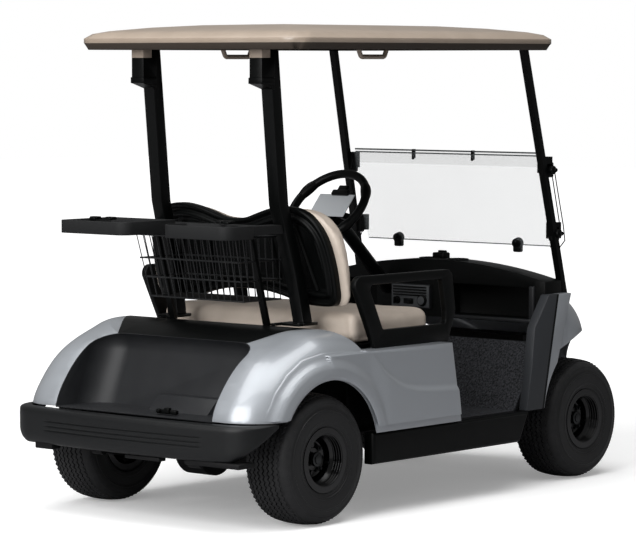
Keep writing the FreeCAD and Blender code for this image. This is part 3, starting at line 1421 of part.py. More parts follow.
def back_outline(inset):
    """Rear view of the seat back: two humps with a dip between them."""
    side = float(s.back_side - inset)
    low = float(s.back_foot_height + inset)
    corner = float(s.back_corner_height)
    top = float(s.back_top_height - inset)
    hump = float(s.back_hump_side)
    dip = top - float(s.back_dip)
    points = [
        FreeCAD.Vector(0, side, corner),
        FreeCAD.Vector(0, 0, dip),
    ]
    for side_share, rise_share in BACK_SHARES:
        shoulder = FreeCAD.Vector(0, hump + (side - hump) * side_share, corner + (top - corner) * rise_share)
        points.insert(-1, shoulder)
    points[-1:-1] = [FreeCAD.Vector(0, hump, top), FreeCAD.Vector(0, hump / 2, (top + dip) / 2)]
    points += [FreeCAD.Vector(0, -p.y, p.z) for p in reversed(points[:-1])]
    curve = Part.BSplineCurve()
    curve.interpolate(Points=points, InitialTangent=Z_AXIS, FinalTangent=FreeCAD.Vector(0, 0, -1))
    foot = [FreeCAD.Vector(0, -side, corner), FreeCAD.Vector(0, -side, low),
            FreeCAD.Vector(0, side, low), FreeCAD.Vector(0, side, corner)]
    edges = [curve.toShape()] + [Part.makeLine(a, b) for a, b in zip(foot[:-1], foot[1:])]
    return Part.Face(Part.Wire(edges))


def back_slice(inset, start, depth):
    """The seat back's outline pushed forward, then leaned back."""
    solid = back_outline(inset).extrude(vec(depth, 0, 0))
    solid.translate(vec(start, 0, 0))
    lean = FreeCAD.Matrix()
    lean.A13 = -float(s.back_lean) / float(s.back_top_height - s.back_foot_height)
    leaned = solid.transformGeometry(lean)
    leaned.translate(vec(ahead(s.back_foot_reach) - Size(lean.A13, "0") * s.back_foot_height, 0, 0))
    return leaned


def seat_back_shell():
    outer = back_slice(0, 0, s.shell_depth)
    inner = back_slice(s.shell_wall, s.shell_wall, s.shell_depth)
    shell = outer.cut(inner)
    z = s.back_bracket_height
    half = s.back_bracket_width / 2
    bracket = slab((ahead(s.rear_strut_knee_reach), ahead(s.back_foot_reach)),
                   (s.rear_strut_side - half, s.rear_strut_side + half), (z - half, z + half)).cut([outer, rear_strut()])
    return shell.fuse([bracket, both_sides(bracket)])


def seat_back_cushion():
    gap = s.shell_wall + s.soft_gap
    return back_slice(gap, gap, s.back_cushion_depth)


keep("seat_base", feature("seat_base_shape", seat_base()))
keep("seat_board", feature("seat_board_shape", seat_board()))
keep("seat_cushion", feature("seat_cushion_shape", seat_cushion()))
keep("seat_back_shell", feature("seat_back_shell_shape", seat_back_shell()))
keep("seat_back_cushion", feature("seat_back_cushion_shape", seat_back_cushion()))


# Armrests: closed loops beside the seat

def armrest():
    outer = [
        (ahead(s.arm_rear_foot), s.arm_foot_height),
        (ahead(s.arm_front_foot), s.arm_foot_height),
        (ahead(s.arm_knee_reach), s.arm_knee_height),
        (ahead(s.arm_front_top), s.arm_top_height),
        (ahead(s.arm_rear_top), s.arm_top_height),
    ]
    low = s.arm_foot_height + s.arm_base_height
    high = s.arm_top_height - s.arm_top_bar
    lean = (s.arm_rear_foot - s.arm_rear_top) / (s.arm_top_height - s.arm_foot_height)
    rear_low = ahead(s.arm_rear_foot) - lean * s.arm_base_height + s.arm_rear_bar
    rear_high = ahead(s.arm_rear_top) + lean * s.arm_top_bar + s.arm_rear_bar
    inner = [
        (rear_low, low),
        (ahead(s.arm_knee_reach) - s.arm_front_bar, low),
        (ahead(s.arm_knee_reach) - s.arm_front_bar, s.arm_knee_height),
        (ahead(s.arm_front_top) - s.arm_front_bar, high),
        (rear_high, high),
    ]
    solid = side_prism(outer, s.arm_side, s.arm_side + s.arm_depth)
    level = float(s.arm_knee_height) - float(s.overrun)
    solid = round_edges(solid, s.arm_corner, lambda edge: along(edge, Y_AXIS) and edge.CenterOfMass.z > level)
    hole = side_prism(inner, s.arm_side - s.overrun, s.arm_side + s.arm_depth + s.overrun)
    hole = round_edges(hole, s.arm_corner / 2, lambda edge: along(edge, Y_AXIS))
    return solid.cut(hole)


keep_pair("armrests", feature("armrest_left", armrest()))


# Roof: a rounded tray turned upside down, with a raised crown

ROOF_SHARES = ((0, 0), (0.05, 0.32), (0.15, 0.52), (0.4, 0.77), (0.7, 0.94), (1, 1))


def roof_plan(inset, z):
    x = (ahead(-s.roof_rear_reach) + inset, ahead(s.roof_front_reach) - inset)
    side = s.roof_side - inset
    outline = slab(x, (-side, side), (z, z + s.overrun))
    corner = s.roof_corner - inset * (s.roof_corner / s.roof_side)
    rounded = round_edges(outline, corner, lambda edge: along(edge, Z_AXIS))
    faces = [face for face in rounded.Faces if abs(face.CenterOfMass.z - float(z)) < float(s.running_gap)]
    return faces[0].OuterWire


def roof_dome(inset):
    """The domed top, lofted through level rings that shrink towards the middle."""
    rise = s.roof_top_height - s.roof_rim_height
    rings = []
    for edge_share, rise_share in ROOF_SHARES:
        rings.append(roof_plan(s.roof_crown_edge * edge_share + inset, s.roof_rim_height + rise * rise_share - inset))
    return Part.makeLoft(rings, True, True)


def roof():
    zero = Size(0, "0")
    skirt = Part.Face(roof_plan(zero, s.roof_skirt_height)).extrude(vec(0, 0, s.roof_rim_height - s.roof_skirt_height))
    solid = skirt.fuse(roof_dome(zero))
    wall = s.roof_wall
    tray = Part.Face(roof_plan(wall, s.roof_skirt_height)).extrude(
        vec(0, 0, s.roof_rim_height - s.roof_skirt_height - wall / 2))
    return solid.cut([tray, roof_dome(wall)])


def roof_frame():
    """Cross bars under the roof that the struts are bolted to."""
    z = (s.roof_skirt_height, s.roof_skirt_height + s.rail_width)
    bars = []
    rear = ahead(s.rear_strut_top_reach)
    front = ahead(s.front_strut_top_reach)
    boss_rear = rear - s.rear_strut_depth / 2 - s.strut_head_length
    half = s.strut_head_width / 2
    for sign in (-1, 1):
        middle = s.rear_strut_side * sign
        bars.append(slab((boss_rear, rear - s.rear_strut_depth / 2), (middle - half, middle + half),
                         (s.roof_skirt_height - s.roof_boss_height, s.roof_skirt_height + s.roof_wall)))
    for x in (rear, front):
        bars.append(slab((x - s.cross_width / 2, x + s.cross_width / 2),
                         (-s.roof_side + s.roof_wall, s.roof_side - s.roof_wall), z))
    return bars


def roof_grip():
    z = s.roof_skirt_height + s.roof_wall
    low = z - s.grip_drop
    x = ahead(s.grip_reach)
    half = s.grip_length / 2
    points = [vec(x - half, s.grip_side, z), vec(x - half + s.grip_drop / 2, s.grip_side, low),
              vec(x + half - s.grip_drop / 2, s.grip_side, low), vec(x + half, s.grip_side, z)]
    return round_tube(points, s.grip_radius, s.grip_bend)


def roof_grip_rails():
    """Rails under the roof from bar to bar, which carry the grips."""
    rear = ahead(s.rear_strut_top_reach)
    front = ahead(s.front_strut_top_reach)
    rails = []
    for sign in (-1, 1):
        middle = s.grip_side * sign
        rails.append(slab((rear, front), (middle - s.cross_width / 2, middle + s.cross_width / 2),
                          (s.roof_skirt_height + s.roof_wall, s.roof_skirt_height + s.rail_width)))
    return rails


roof_shape = roof().fuse(roof_frame() + roof_grip_rails())
keep("roof", feature("roof_shape", roof_shape))
keep_pair("roof_grips", feature("roof_grip_left", roof_grip().cut(roof_shape)))


# Windshield: a lower pane and the upper pane folded down in front of it

strut_slope = (s.front_strut_foot_reach - s.front_strut_top_reach) / (s.roof_skirt_height - s.front_strut_foot_height)


def pane(low, high, stand_off):
    def at(z):
        return ahead(s.front_strut_foot_reach) - strut_slope * (z - s.front_strut_foot_height) + stand_off
    outline = [(at(low), low), (at(low) + s.glass_wall, low), (at(high) + s.glass_wall, high), (at(high), high)]
    return side_prism(outline, -s.glass_side, s.glass_side)


def clamp(z):
    """A block beside the panes that grips their edges to the strut."""
    x = ahead(s.front_strut_foot_reach) - strut_slope * (z - s.front_strut_foot_height)
    return slab((x, x + s.glass_stand_off + s.pane_gap + s.clamp_depth / 2),
                (s.glass_side, s.glass_side + s.clamp_width), (z - s.clamp_length / 2, z + s.clamp_length / 2))


# Front cowl: a lofted hood with side walls and open wheel arches

def cowl_section(x, side, top, bottom, shoulder, crown):
    """One upright section of the cowl: sides, rounded shoulders and a crowned top."""
    quarter = 1 - math.sqrt(0.5)
    left = FreeCAD.Vector(x, side, bottom)
    left_up = FreeCAD.Vector(x, side, top - shoulder - crown)
    left_crest = FreeCAD.Vector(x, side - shoulder * quarter, top - crown - shoulder * quarter)
    left_top = FreeCAD.Vector(x, side - shoulder, top - crown)
    peak = FreeCAD.Vector(x, 0, top)

    def over(p):
        return FreeCAD.Vector(p.x, -p.y, p.z)

    edges = [
        Part.makeLine(left, left_up),
        Part.Arc(left_up, left_crest, left_top).toShape(),
        Part.Arc(left_top, peak, over(left_top)).toShape(),
        Part.Arc(over(left_top), over(left_crest), over(left_up)).toShape(),
        Part.makeLine(over(left_up), over(left)),
        Part.makeLine(over(left), left),
    ]
    return Part.Wire(edges)


# Along the cowl, its side, its top, its shoulder and its crown
COWL_SHARES = (
    (0, 0.935, 1.14, 1, 1),
    (0.149, 0.96, 1, 1, 1),
    (0.36, 0.95, 0.82, 1, 1),
    (0.47, 0.898, 0.73, 1, 1),
    (0.57, 0.833, 0.6, 1, 1),
    (0.781, 0.63, 0.35, 0.85, 0.8),
    (0.93, 0.46, 0.12, 0.75, 0.7),
    (1, 0.39, 0, 0.6, 0.5),
)


def cowl_solid(inset):
    start = float(ahead(s.joint_low_reach)) - float(s.overrun)
    end = float(front_x + s.front_overhang) - float(inset)
    rise = float(s.cowl_top_height - s.cowl_nose_top)
    low = float(s.cowl_bottom_height) - (float(s.overrun) if inset else 0)
    wires = []
    for along_share, side_share, top_share, shoulder_share, crown_share in COWL_SHARES:
        side = float(s.cowl_side) * side_share - inset
        top = float(s.cowl_nose_top) + rise * top_share - inset
        crown = float(s.cowl_crown) * crown_share
        wires.append(cowl_section(start + (end - start) * along_share, side, top, low,
                                  float(s.cowl_shoulder) * shoulder_share - inset, crown))
    return Part.makeLoft(wires, True, False)


def front_arches(extra):
    arches = []
    for low, high in ((s.kingpin_side - s.tyre_half_width, s.body_side + s.overrun),
                      (-s.body_side - s.overrun, -(s.kingpin_side - s.tyre_half_width))):
        arches.append(Part.makeCylinder(float(s.front_arch_radius + extra), float(high - low),
                                        vec(front_x - s.front_arch_back, low, s.front_arch_height), Y_AXIS))
    return arches


def front_cowl(outer):
    inner = cowl_solid(float(s.panel_wall))
    shell = outer.cut(inner)
    low = s.joint_low_height
    rise = s.post_top_height - low
    far = s.post_top_height + rise
    behind = side_prism([(ahead(s.joint_low_reach) - rise, low - rise), (ahead(s.joint_low_reach) - s.joint_lean, low - rise),
                         (ahead(s.joint_low_reach) + s.joint_lean * 2, far), (ahead(s.joint_low_reach) - rise, far)],
                        -s.body_side, s.body_side)
    cab = slab((ahead(s.toe_reach), ahead(s.cowl_rear_reach)), (-s.outrigger_side, s.outrigger_side),
               (s.rail_bottom, s.roof_rim_height))
    return shell.cut(front_arches(0) + [behind, cab])


def headlamp():
    """A lens in the nose with its housing behind the skin."""
    skin = front_x + s.front_overhang - s.panel_wall
    lens = Part.makeCylinder(float(s.lamp_radius), float(s.panel_wall), vec(skin, s.lamp_side, s.lamp_height), X_AXIS)
    housing = Part.makeCylinder(float(s.lamp_body_radius), float(s.lamp_depth),
                                vec(skin - s.lamp_depth, s.lamp_side, s.lamp_height), X_AXIS)
    return housing.fuse(lens)


def lamp_holes():
    hole = Part.makeCylinder(float(s.lamp_radius + s.soft_gap), float(s.overrun * 3),
                             vec(front_x + s.front_overhang - s.overrun * 2, s.lamp_side, s.lamp_height), X_AXIS)
    return [hole, both_sides(hole)]


cowl_outer = cowl_solid(0)
keep("front_cowl", feature("front_cowl_shape", front_cowl(cowl_outer).cut(lamp_holes())))
keep_pair("headlamps", feature("headlamp_left", headlamp()))
lower_pane = pane(s.glass_foot_height - s.clamp_length, s.glass_top_height, s.glass_stand_off).cut(cowl_outer)
upper_pane = pane(s.glass_fold_foot, s.glass_top_height + s.overrun, s.glass_stand_off + s.pane_gap)
keep("windshield", feature("windshield_shape", Part.makeCompound([lower_pane, upper_pane])))
ceiling = slab((ahead(0), ahead(s.wheelbase)), (-s.body_side, s.body_side), (s.roof_skirt_height, s.roof_top_height))
left_strut = front_strut().fuse([clamp(s.clamp_high), clamp(s.clamp_low)]).cut([cowl_outer, ceiling])
keep_pair("front_struts", feature("front_strut_left", left_strut))


# Side posts between the rockers and the cowl

def side_post():
    rise = s.post_top_height - s.joint_low_height
    run_down = s.joint_lean * (float(s.joint_low_height - s.rocker_top_height) / float(rise))
    outline = [
        (ahead(s.post_low_rear), s.rocker_top_height),
        (ahead(s.post_knee_rear), s.post_knee_height),
        (ahead(s.post_mid_rear), s.post_mid_height),
        (ahead(s.post_top_rear), s.post_top_height),
        (ahead(s.joint_low_reach + s.joint_lean), s.post_top_height),
        (ahead(s.joint_low_reach) - run_down, s.rocker_top_height),
    ]
    return side_prism(outline, s.outrigger_side, s.post_side).cut(front_arches(0))


keep_pair("cowl_sides", feature("cowl_side_left", side_post()))


# Front bumper and headlamps

def front_bumper():
    low = s.front_bumper_bottom
    x = (front_x + s.front_overhang - s.front_bumper_depth, front_x + s.front_overhang)
    return slab(x, (-s.front_bumper_side, s.front_bumper_side), (low, s.cowl_bottom_height))


keep("front_bumper", feature("front_bumper_shape", front_bumper()))


# Dash with its glovebox, cup holders and switch panel

def dash():
    rear = ahead(s.dash_rear_reach)
    front = ahead(s.cowl_rear_reach)
    top = float(s.dash_top_middle)
    side_top = float(s.dash_top_side)
    side = float(s.dash_side)
    low = float(s.dash_bottom)
    x = float(rear)
    left = FreeCAD.Vector(x, side, side_top)
    right = FreeCAD.Vector(x, -side, side_top)
    edges = [Part.Arc(left, FreeCAD.Vector(x, 0, top), right).toShape(),
             Part.makeLine(right, FreeCAD.Vector(x, -side, low)),
             Part.makeLine(FreeCAD.Vector(x, -side, low), FreeCAD.Vector(x, side, low)),
             Part.makeLine(FreeCAD.Vector(x, side, low), left)]
    solid = Part.Face(Part.Wire(edges)).extrude(vec(front - rear, 0, 0))
    cuts = []
    cuts.append(slab((rear - s.overrun, front - s.dash_wall), (-s.glove_outer_side, -s.glove_inner_side),
                     (s.glove_bottom, s.glove_top)))
    cuts.append(slab((rear - s.overrun, front - s.dash_wall), (s.wheel_side + s.column_radius * 2, s.glove_outer_side),
                     (s.glove_bottom, s.glove_top)))
    for sign in (-1, 1):
        cuts.append(Part.makeCylinder(float(s.cup_radius), float(s.cup_depth),
                                      vec(ahead(s.cup_reach), s.cup_side * sign, s.dash_top_middle - s.cup_depth), Z_AXIS))
    start = wheel_centre + column_run * float(s.wheel_dish)
    cuts.append(Part.makeCylinder(float(s.column_radius + s.seam), float(s.column_length + s.overrun), start, column_run))
    return solid.cut(cuts)


keep("dash", feature("dash_shape", dash()))


def switch_panel():
    rear = ahead(s.dash_rear_reach)
    return slab((rear - s.panel_depth, rear), (s.panel_side - s.panel_width / 2, s.panel_side + s.panel_width / 2),
                (s.panel_bottom, s.panel_bottom + s.panel_height))


def pedal(side):
    x = ahead(s.pedal_reach)
    low = mat_low + s.mat_wall
    pad_low = low + s.pedal_lift
    stem = slab((x, x + s.pedal_wall), (side - s.pedal_stem / 2, side + s.pedal_stem / 2), (low, pad_low + s.pedal_wall))
    outline = [(x, pad_low), (x + s.pedal_wall, pad_low),
               (x + s.pedal_wall + s.pedal_lean, pad_low + s.pedal_height), (x + s.pedal_lean, pad_low + s.pedal_height)]
    return stem.fuse(side_prism(outline, side - s.pedal_width / 2, side + s.pedal_width / 2))


keep("switch_panel", feature("switch_panel_shape", switch_panel()))
keep("pedals", feature("pedals_shape", Part.makeCompound([pedal(s.brake_side), pedal(s.throttle_side)])))


# Bag holder and basket

def bag_hoop(sign):
    middle = s.hoop_side * sign
    root = ahead(-s.hoop_root_reach)
    tip = root - (s.hoop_long if sign > 0 else s.hoop_short)
    low = s.hoop_height if sign > 0 else s.hoop_height - s.hoop_step
    outer = slab((tip, root), (middle - s.hoop_half_width, middle + s.hoop_half_width), (low, low + s.hoop_band))
    rounding = s.hoop_corner

    def rear_corner(edge):
        return along(edge, Z_AXIS) and edge.CenterOfMass.x < float(tip) + float(s.overrun)

    outer = round_edges(outer, rounding, rear_corner)
    wall = s.hoop_wall
    inner = slab((tip + wall, root - wall), (middle - s.hoop_half_width + wall, middle + s.hoop_half_width - wall),
                 (low - s.overrun, low + s.hoop_band + s.overrun))
    inner = round_edges(inner, rounding - wall,
                        lambda edge: along(edge, Z_AXIS) and edge.CenterOfMass.x < float(tip) + float(s.overrun) * 3)
    return outer.cut(inner)


def bag_holder():
    root = ahead(-s.hoop_root_reach)
    reach = s.rear_strut_side + s.rear_strut_width / 2
    level = (s.hoop_height, s.hoop_height + s.hoop_bar)
    bar = slab((root, root + s.hoop_bar), (-reach, reach), level)
    middle_bar = slab((ahead(-s.upright_top_back) - s.hoop_bar / 2, ahead(-s.upright_top_back) + s.hoop_bar / 2),
                      (-reach, reach), level)
    shape = bar.fuse([middle_bar, bag_hoop(-1), bag_hoop(1)])
    arms = []
    for sign in (-1, 1):
        middle = s.rear_strut_side * sign
        arms.append(slab((root + s.hoop_bar / 2, ahead(s.rear_strut_bend_reach) + s.rear_strut_depth),
                         (middle - s.rear_strut_width / 2 - s.upright_depth, middle + s.rear_strut_width / 2 + s.upright_depth),
                         (s.hoop_height, s.hoop_height + s.hoop_bar)))
    return shape.fuse(arms)


strut_shape = rear_strut()
strut_pair = [strut_shape, both_sides(strut_shape)]
keep("bag_holder", feature("bag_holder_shape", bag_holder().cut(strut_pair)))


def loop(points, bend):
    """A closed path round its corners, each rounded by an arc."""
    edges = []
    count = len(points)
    for index in range(count):
        corner = points[index]
        before = points[index - 1]
        after = points[(index + 1) % count]
        back = (before - corner).normalize()
        on = (after - corner).normalize()
        half = back.getAngle(on) / 2
        start = corner + back * (bend / math.tan(half))
        end = corner + on * (bend / math.tan(half))
        crest = corner + (back + on).normalize() * (bend / math.sin(half) - bend)
        edges.append(Part.Arc(start, crest, end).toShape())
        beyond = points[(index + 2) % count]
        next_half = (corner - after).getAngle(beyond - after) / 2
        edges.append(Part.makeLine(end, after - on * (bend / math.tan(next_half))))
    return Part.Wire(edges)


# Rows of wire above the basket's lowest ring
BASKET_ROWS = 4


def basket():
    """Wire basket: rings one above the other, upright wires between them and a wire floor."""
    low_z = s.basket_low_height

    def ring_points(share):
        z = low_z + s.basket_height * share
        rear = ahead(s.basket_rear_foot) - s.basket_rear_lean * share
        front = ahead(s.basket_front_foot) - s.basket_front_lean * share
        return [vec(rear, s.basket_side, z), vec(rear, -s.basket_side, z),
                vec(front, -s.basket_side, z), vec(front, s.basket_side, z)]

    pieces = []
    for level in range(BASKET_ROWS + 1):
        path = loop(ring_points(level / BASKET_ROWS), float(s.basket_corner))
        start = path.Edges[-1].Vertexes[0].Point
        run = path.Edges[-1].Vertexes[1].Point - start
        path = Part.Wire([path.Edges[-1]] + path.Edges[:-1])
        ring = Part.Wire(Part.makeCircle(float(s.ring_radius), start, run))
        pieces.append(path.makePipeShell([ring], True, False))
    low = ring_points(0)
    high = ring_points(1)
    thin = float(s.wire_radius)
    for side in range(4):
        a, b = low[side], low[(side + 1) % 4]
        c, d = high[side], high[(side + 1) % 4]
        count = int(round((b - a).Length / float(s.wire_pitch)))
        for index in range(1, count):
            share = index / count
            foot = a + (b - a) * share
            head = c + (d - c) * share
            pieces.append(Part.makeCylinder(thin, (head - foot).Length, foot, head - foot))
            if side == 0:
                across = low[3] + (low[2] - low[3]) * share
                pieces.append(Part.makeCylinder(thin, (across - foot).Length, foot, across - foot))
    return pieces[0].fuse(pieces[1:])


def basket_upright():
    """A bar from the deck up to the bag holder's cross bar, just inside the basket's end."""
    side = s.basket_side - s.ring_radius - s.upright_width / 2
    foot = vec(ahead(s.upright_foot_reach), side, s.haunch_top_height)
    top = vec(ahead(-s.upright_top_back), side, s.hoop_height)
    run = (top - foot).normalize()
    bar = square_tube([foot - run * float(s.overrun), top + run * float(s.overrun)],
                      s.upright_width, s.upright_depth)
    floor = slab((ahead(-s.rear_overhang), ahead(s.wheelbase)), (0, s.body_side),
                 (s.well_floor_height, s.haunch_top_height))
    ceiling = slab((ahead(-s.rear_overhang), ahead(s.wheelbase)), (0, s.body_side),
                   (s.hoop_height, s.roof_top_height))
    return bar.cut([floor, ceiling])


keep("basket", feature("basket_shape", basket()))
keep_pair("basket_uprights", feature("basket_upright_left", basket_upright()))


# Export

doc.recompute()
for thing in doc.Objects:
    if "Invalid" in thing.State or "Error" in thing.State:
        raise SystemExit("failed: %s %s" % (thing.Name, thing.State))
for label, thing in nodes.items():
    shape = thing.Shape
    if shape.isNull() or not shape.isValid():
        raise SystemExit("bad shape: " + label)
    shape.exportStep("parts/%s.step" % label)
    print("%-20s solids %d  volume %.0f" % (label, len(shape.Solids), shape.Volume))
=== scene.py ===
import bpy
import json
import math
from mathutils import Vector, Matrix


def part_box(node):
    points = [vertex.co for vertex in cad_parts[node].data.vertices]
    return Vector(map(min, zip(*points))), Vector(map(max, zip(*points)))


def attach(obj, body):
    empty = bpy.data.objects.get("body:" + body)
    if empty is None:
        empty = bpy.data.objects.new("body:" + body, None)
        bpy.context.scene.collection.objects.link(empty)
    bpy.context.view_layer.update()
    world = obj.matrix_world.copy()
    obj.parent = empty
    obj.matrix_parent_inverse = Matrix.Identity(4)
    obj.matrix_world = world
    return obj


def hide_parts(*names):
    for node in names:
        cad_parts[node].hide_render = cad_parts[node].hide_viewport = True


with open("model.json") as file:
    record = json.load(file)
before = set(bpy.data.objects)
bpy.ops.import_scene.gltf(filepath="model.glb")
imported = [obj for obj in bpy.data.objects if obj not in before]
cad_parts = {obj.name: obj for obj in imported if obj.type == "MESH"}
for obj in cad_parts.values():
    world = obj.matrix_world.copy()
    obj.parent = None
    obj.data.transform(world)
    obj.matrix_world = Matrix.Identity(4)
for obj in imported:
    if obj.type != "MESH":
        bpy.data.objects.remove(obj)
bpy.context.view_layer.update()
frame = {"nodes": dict(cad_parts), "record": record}   # bodies, nodes, joints, record
node = frame["nodes"]
MM = 0.001


# Colours and material nodes

def linear(hex_text):
    """A hex colour as linear red, green, blue and alpha."""
    values = [int(hex_text[i:i + 2], 16) / 255 for i in (1, 3, 5)]
    return [v / 12.92 if v <= 0.04045 else ((v + 0.055) / 1.055) ** 2.4 for v in values] + [1.0]


def add(tree, kind, inputs=None, **settings):
    """Add a node, set its settings and its inputs by name or number."""
    made = tree.nodes.new(kind)
    for name, value in settings.items():
        setattr(made, name, value)
    for key, value in (inputs or {}).items():
        if isinstance(value, bpy.types.NodeSocket):
            tree.links.new(value, made.inputs[key])
        else:
            made.inputs[key].default_value = value
    return made


def new_material(name, colour, roughness, metallic=0.0, coat=0.0, coat_roughness=0.1, specular=0.5):
    material = bpy.data.materials.new(name)
    material.use_nodes = True
    shader = tree_and_shader(material)[1]
    shader.inputs["Base Color"].default_value = linear(colour)
    shader.inputs["Roughness"].default_value = roughness
    shader.inputs["Metallic"].default_value = metallic
    shader.inputs["Coat Weight"].default_value = coat
    shader.inputs["Coat Roughness"].default_value = coat_roughness
    shader.inputs["Specular IOR Level"].default_value = specular
    return material


def tree_and_shader(material):
    return material.node_tree, material.node_tree.nodes["Principled BSDF"]


def pattern(tree, kind, size_mm, inputs=None, **settings):
    """A texture on the piece's own coordinates, with marks about as wide as the size."""
    place = add(tree, "ShaderNodeTexCoord")
    spread = {"Vector": place.outputs["Object"], "Scale": 1 / (size_mm * MM)}
    return add(tree, kind, {**spread, **(inputs or {})}, **settings)


def vary_colour(material, low, high, size_mm):
    """Slow change between two near colours."""
    tree, shader = tree_and_shader(material)
    field = pattern(tree, "ShaderNodeTexNoise", size_mm, {"Detail": 3.0})
    ramp = add(tree, "ShaderNodeValToRGB", {0: field.outputs["Fac"]})
    for element, position, colour in zip(ramp.color_ramp.elements, (0.35, 0.65), (low, high)):
        element.position = position
        element.color = linear(colour)
    tree.links.new(ramp.outputs["Color"], shader.inputs["Base Color"])


def vary_roughness(material, low, high, size_mm):
    """Slow change in gloss."""
    tree, shader = tree_and_shader(material)
    field = pattern(tree, "ShaderNodeTexNoise", size_mm, {"Detail": 4.0})
    spread = add(tree, "ShaderNodeMapRange", {0: field.outputs["Fac"], 3: low, 4: high})
    tree.links.new(spread.outputs[0], shader.inputs["Roughness"])


def grain(material, size_mm, depth_mm):
    """Fine moulded grain as a bump."""
    tree, shader = tree_and_shader(material)
    field = pattern(tree, "ShaderNodeTexNoise", size_mm, {"Detail": 2.0})
    bump = add(tree, "ShaderNodeBump", {"Height": field.outputs["Fac"], "Distance": depth_mm * MM})
    tree.links.new(bump.outputs[0], shader.inputs["Normal"])


def pebble(material, size_mm, depth_mm):
    """Leather-like pebble grain as a bump."""
    tree, shader = tree_and_shader(material)
    cells = pattern(tree, "ShaderNodeTexVoronoi", size_mm, feature="SMOOTH_F1")
    bump = add(tree, "ShaderNodeBump", {"Height": cells.outputs["Distance"], "Distance": depth_mm * MM}, invert=True)
    tree.links.new(bump.outputs[0], shader.inputs["Normal"])


# Metallic paint under clear lacquer: soft broad highlights with a sharper sheen on top
silver = new_material("metallic_silver_body", "#9da1a6", 0.36, 0.38, 0.55, 0.06)
vary_roughness(silver, 0.32, 0.40, 60)

# Moulded plastics: fine grain breaks up the light, so they look matt and a little uneven
charcoal = new_material("charcoal_grained_plastic", "#1b1c1e", 0.46, specular=0.3)
vary_colour(charcoal, "#191a1c", "#1d1e20", 80)
grain(charcoal, 0.9, 0.10)
door_post = new_material("grained_door_post", "#2e3033", 0.46, specular=0.3)
grain(door_post, 0.9, 0.10)
black = new_material("black_grained_plastic", "#060707", 0.38, specular=0.12)
vary_colour(black, "#050606", "#070808", 70)
grain(black, 0.8, 0.08)
bumper_plastic = new_material("dark_grained_bumper", "#121314", 0.42, specular=0.25)
grain(bumper_plastic, 0.9, 0.08)
grey_panel = new_material("grey_moulded_panel", "#4a4c4e", 0.5, specular=0.3)
grain(grey_panel, 0.7, 0.04)

# Powder coat on steel: deep black with a slight orange peel in its sheen
coated = new_material("black_powder_coat", "#050606", 0.32, specular=0.14)
grain(coated, 0.5, 0.03)

# Gloss enamel on pressed steel: black with small tight highlights on the steps
rim_gloss = new_material("gloss_black_rim", "#060607", 0.18, specular=0.45)

# Vulcanised rubber: smooth on the sidewall and dull on the tread; the sidewall's colour, darker than the tread's, is
# painted shade
sidewall = new_material("sidewall_rubber_painted_shade", "#131314", 0.42, specular=0.35)
vary_roughness(sidewall, 0.38, 0.50, 30)
rubber = new_material("tyre_rubber", "#222223", 0.6, specular=0.3)
vary_colour(rubber, "#1f1f20", "#262627", 25)
grain(rubber, 1.2, 0.06)

# Woven strap: dull black that swallows the light
webbing = new_material("ribbed_black_webbing", "#0f1011", 0.7, specular=0.3)
grain(webbing, 1.5, 0.2)

# Moulded roof: a warm tan top with a soft sheen; the duller skirt and the dark edge and underside are darker copies
# of the tan, painted shade
roof_mat = new_material("tan_roof_plastic", "#958779", 0.32, coat=0.3)
vary_colour(roof_mat, "#928476", "#988a7c", 120)
grain(roof_mat, 0.7, 0.04)
# Painted shade: the skirt and a thin line at the crown's base, a little darker than the top
shaded_roof_skirt = new_material("roof_skirt_painted_shade", "#8d8074", 0.5, specular=0.3)
# Painted shade: the dark edge under the lip and the underside
shaded_roof_edge = new_material("roof_edge_painted_shade", "#39322c", 0.6, specular=0.2)

# Steel wire dipped in plastic: dark grey, partly its own colour and partly painted sheen, for a thin grey line of
# light along each wire
wire_coat_and_sheen = new_material("dipped_black_wire_painted_sheen", "#1b1c1d", 0.35, specular=0.4)

# Chassis paint: flat black that keeps the underside quiet
dark_chassis = new_material("dull_chassis_coat", "#0c0c0d", 0.6, specular=0.2)

# Coated seat vinyl: soft beige with a pebble grain, and no hard highlights
vinyl = new_material("beige_seat_vinyl", "#c2b5a8", 0.5)
vary_colour(vinyl, "#beb1a4", "#c6b9ac", 90)
pebble(vinyl, 1.6, 0.12)

# Flecked rubber mat: grey specks on black, drawn coarser than the real ones so that they show
mat_rubber = new_material("speckled_floor_mat", "#1c1d1f", 0.85, specular=0.2)
vary_colour(mat_rubber, "#0e0f10", "#3a3b3f", 7)
grain(mat_rubber, 2.5, 0.6)

# Thin clear sheet: nearly all light goes straight through and a little gloss stays; its cut edge is grey
acrylic = new_material("clear_acrylic", "#a9afb1", 0.03)
shader = tree_and_shader(acrylic)[1]
shader.inputs["Alpha"].default_value = 0.10
shader.inputs["IOR"].default_value = 1.49
edge_grey = new_material("acrylic_cut_edge", "#5b5f61", 0.3, specular=0.4)

# Coated card: a pale, even patch
pale_plate = new_material("pale_card_plate", "#c4c8cc", 0.4)

# Blackened steel: dark metal with a small glint on each flat
nut_steel = new_material("blackened_steel_nut", "#3a3b3c", 0.35, 0.9)

# Polycarbonate lens: pale and glossy
lamp_glass = new_material("lamp_lens", "#e8ecee", 0.12, 0.0, 0.6)

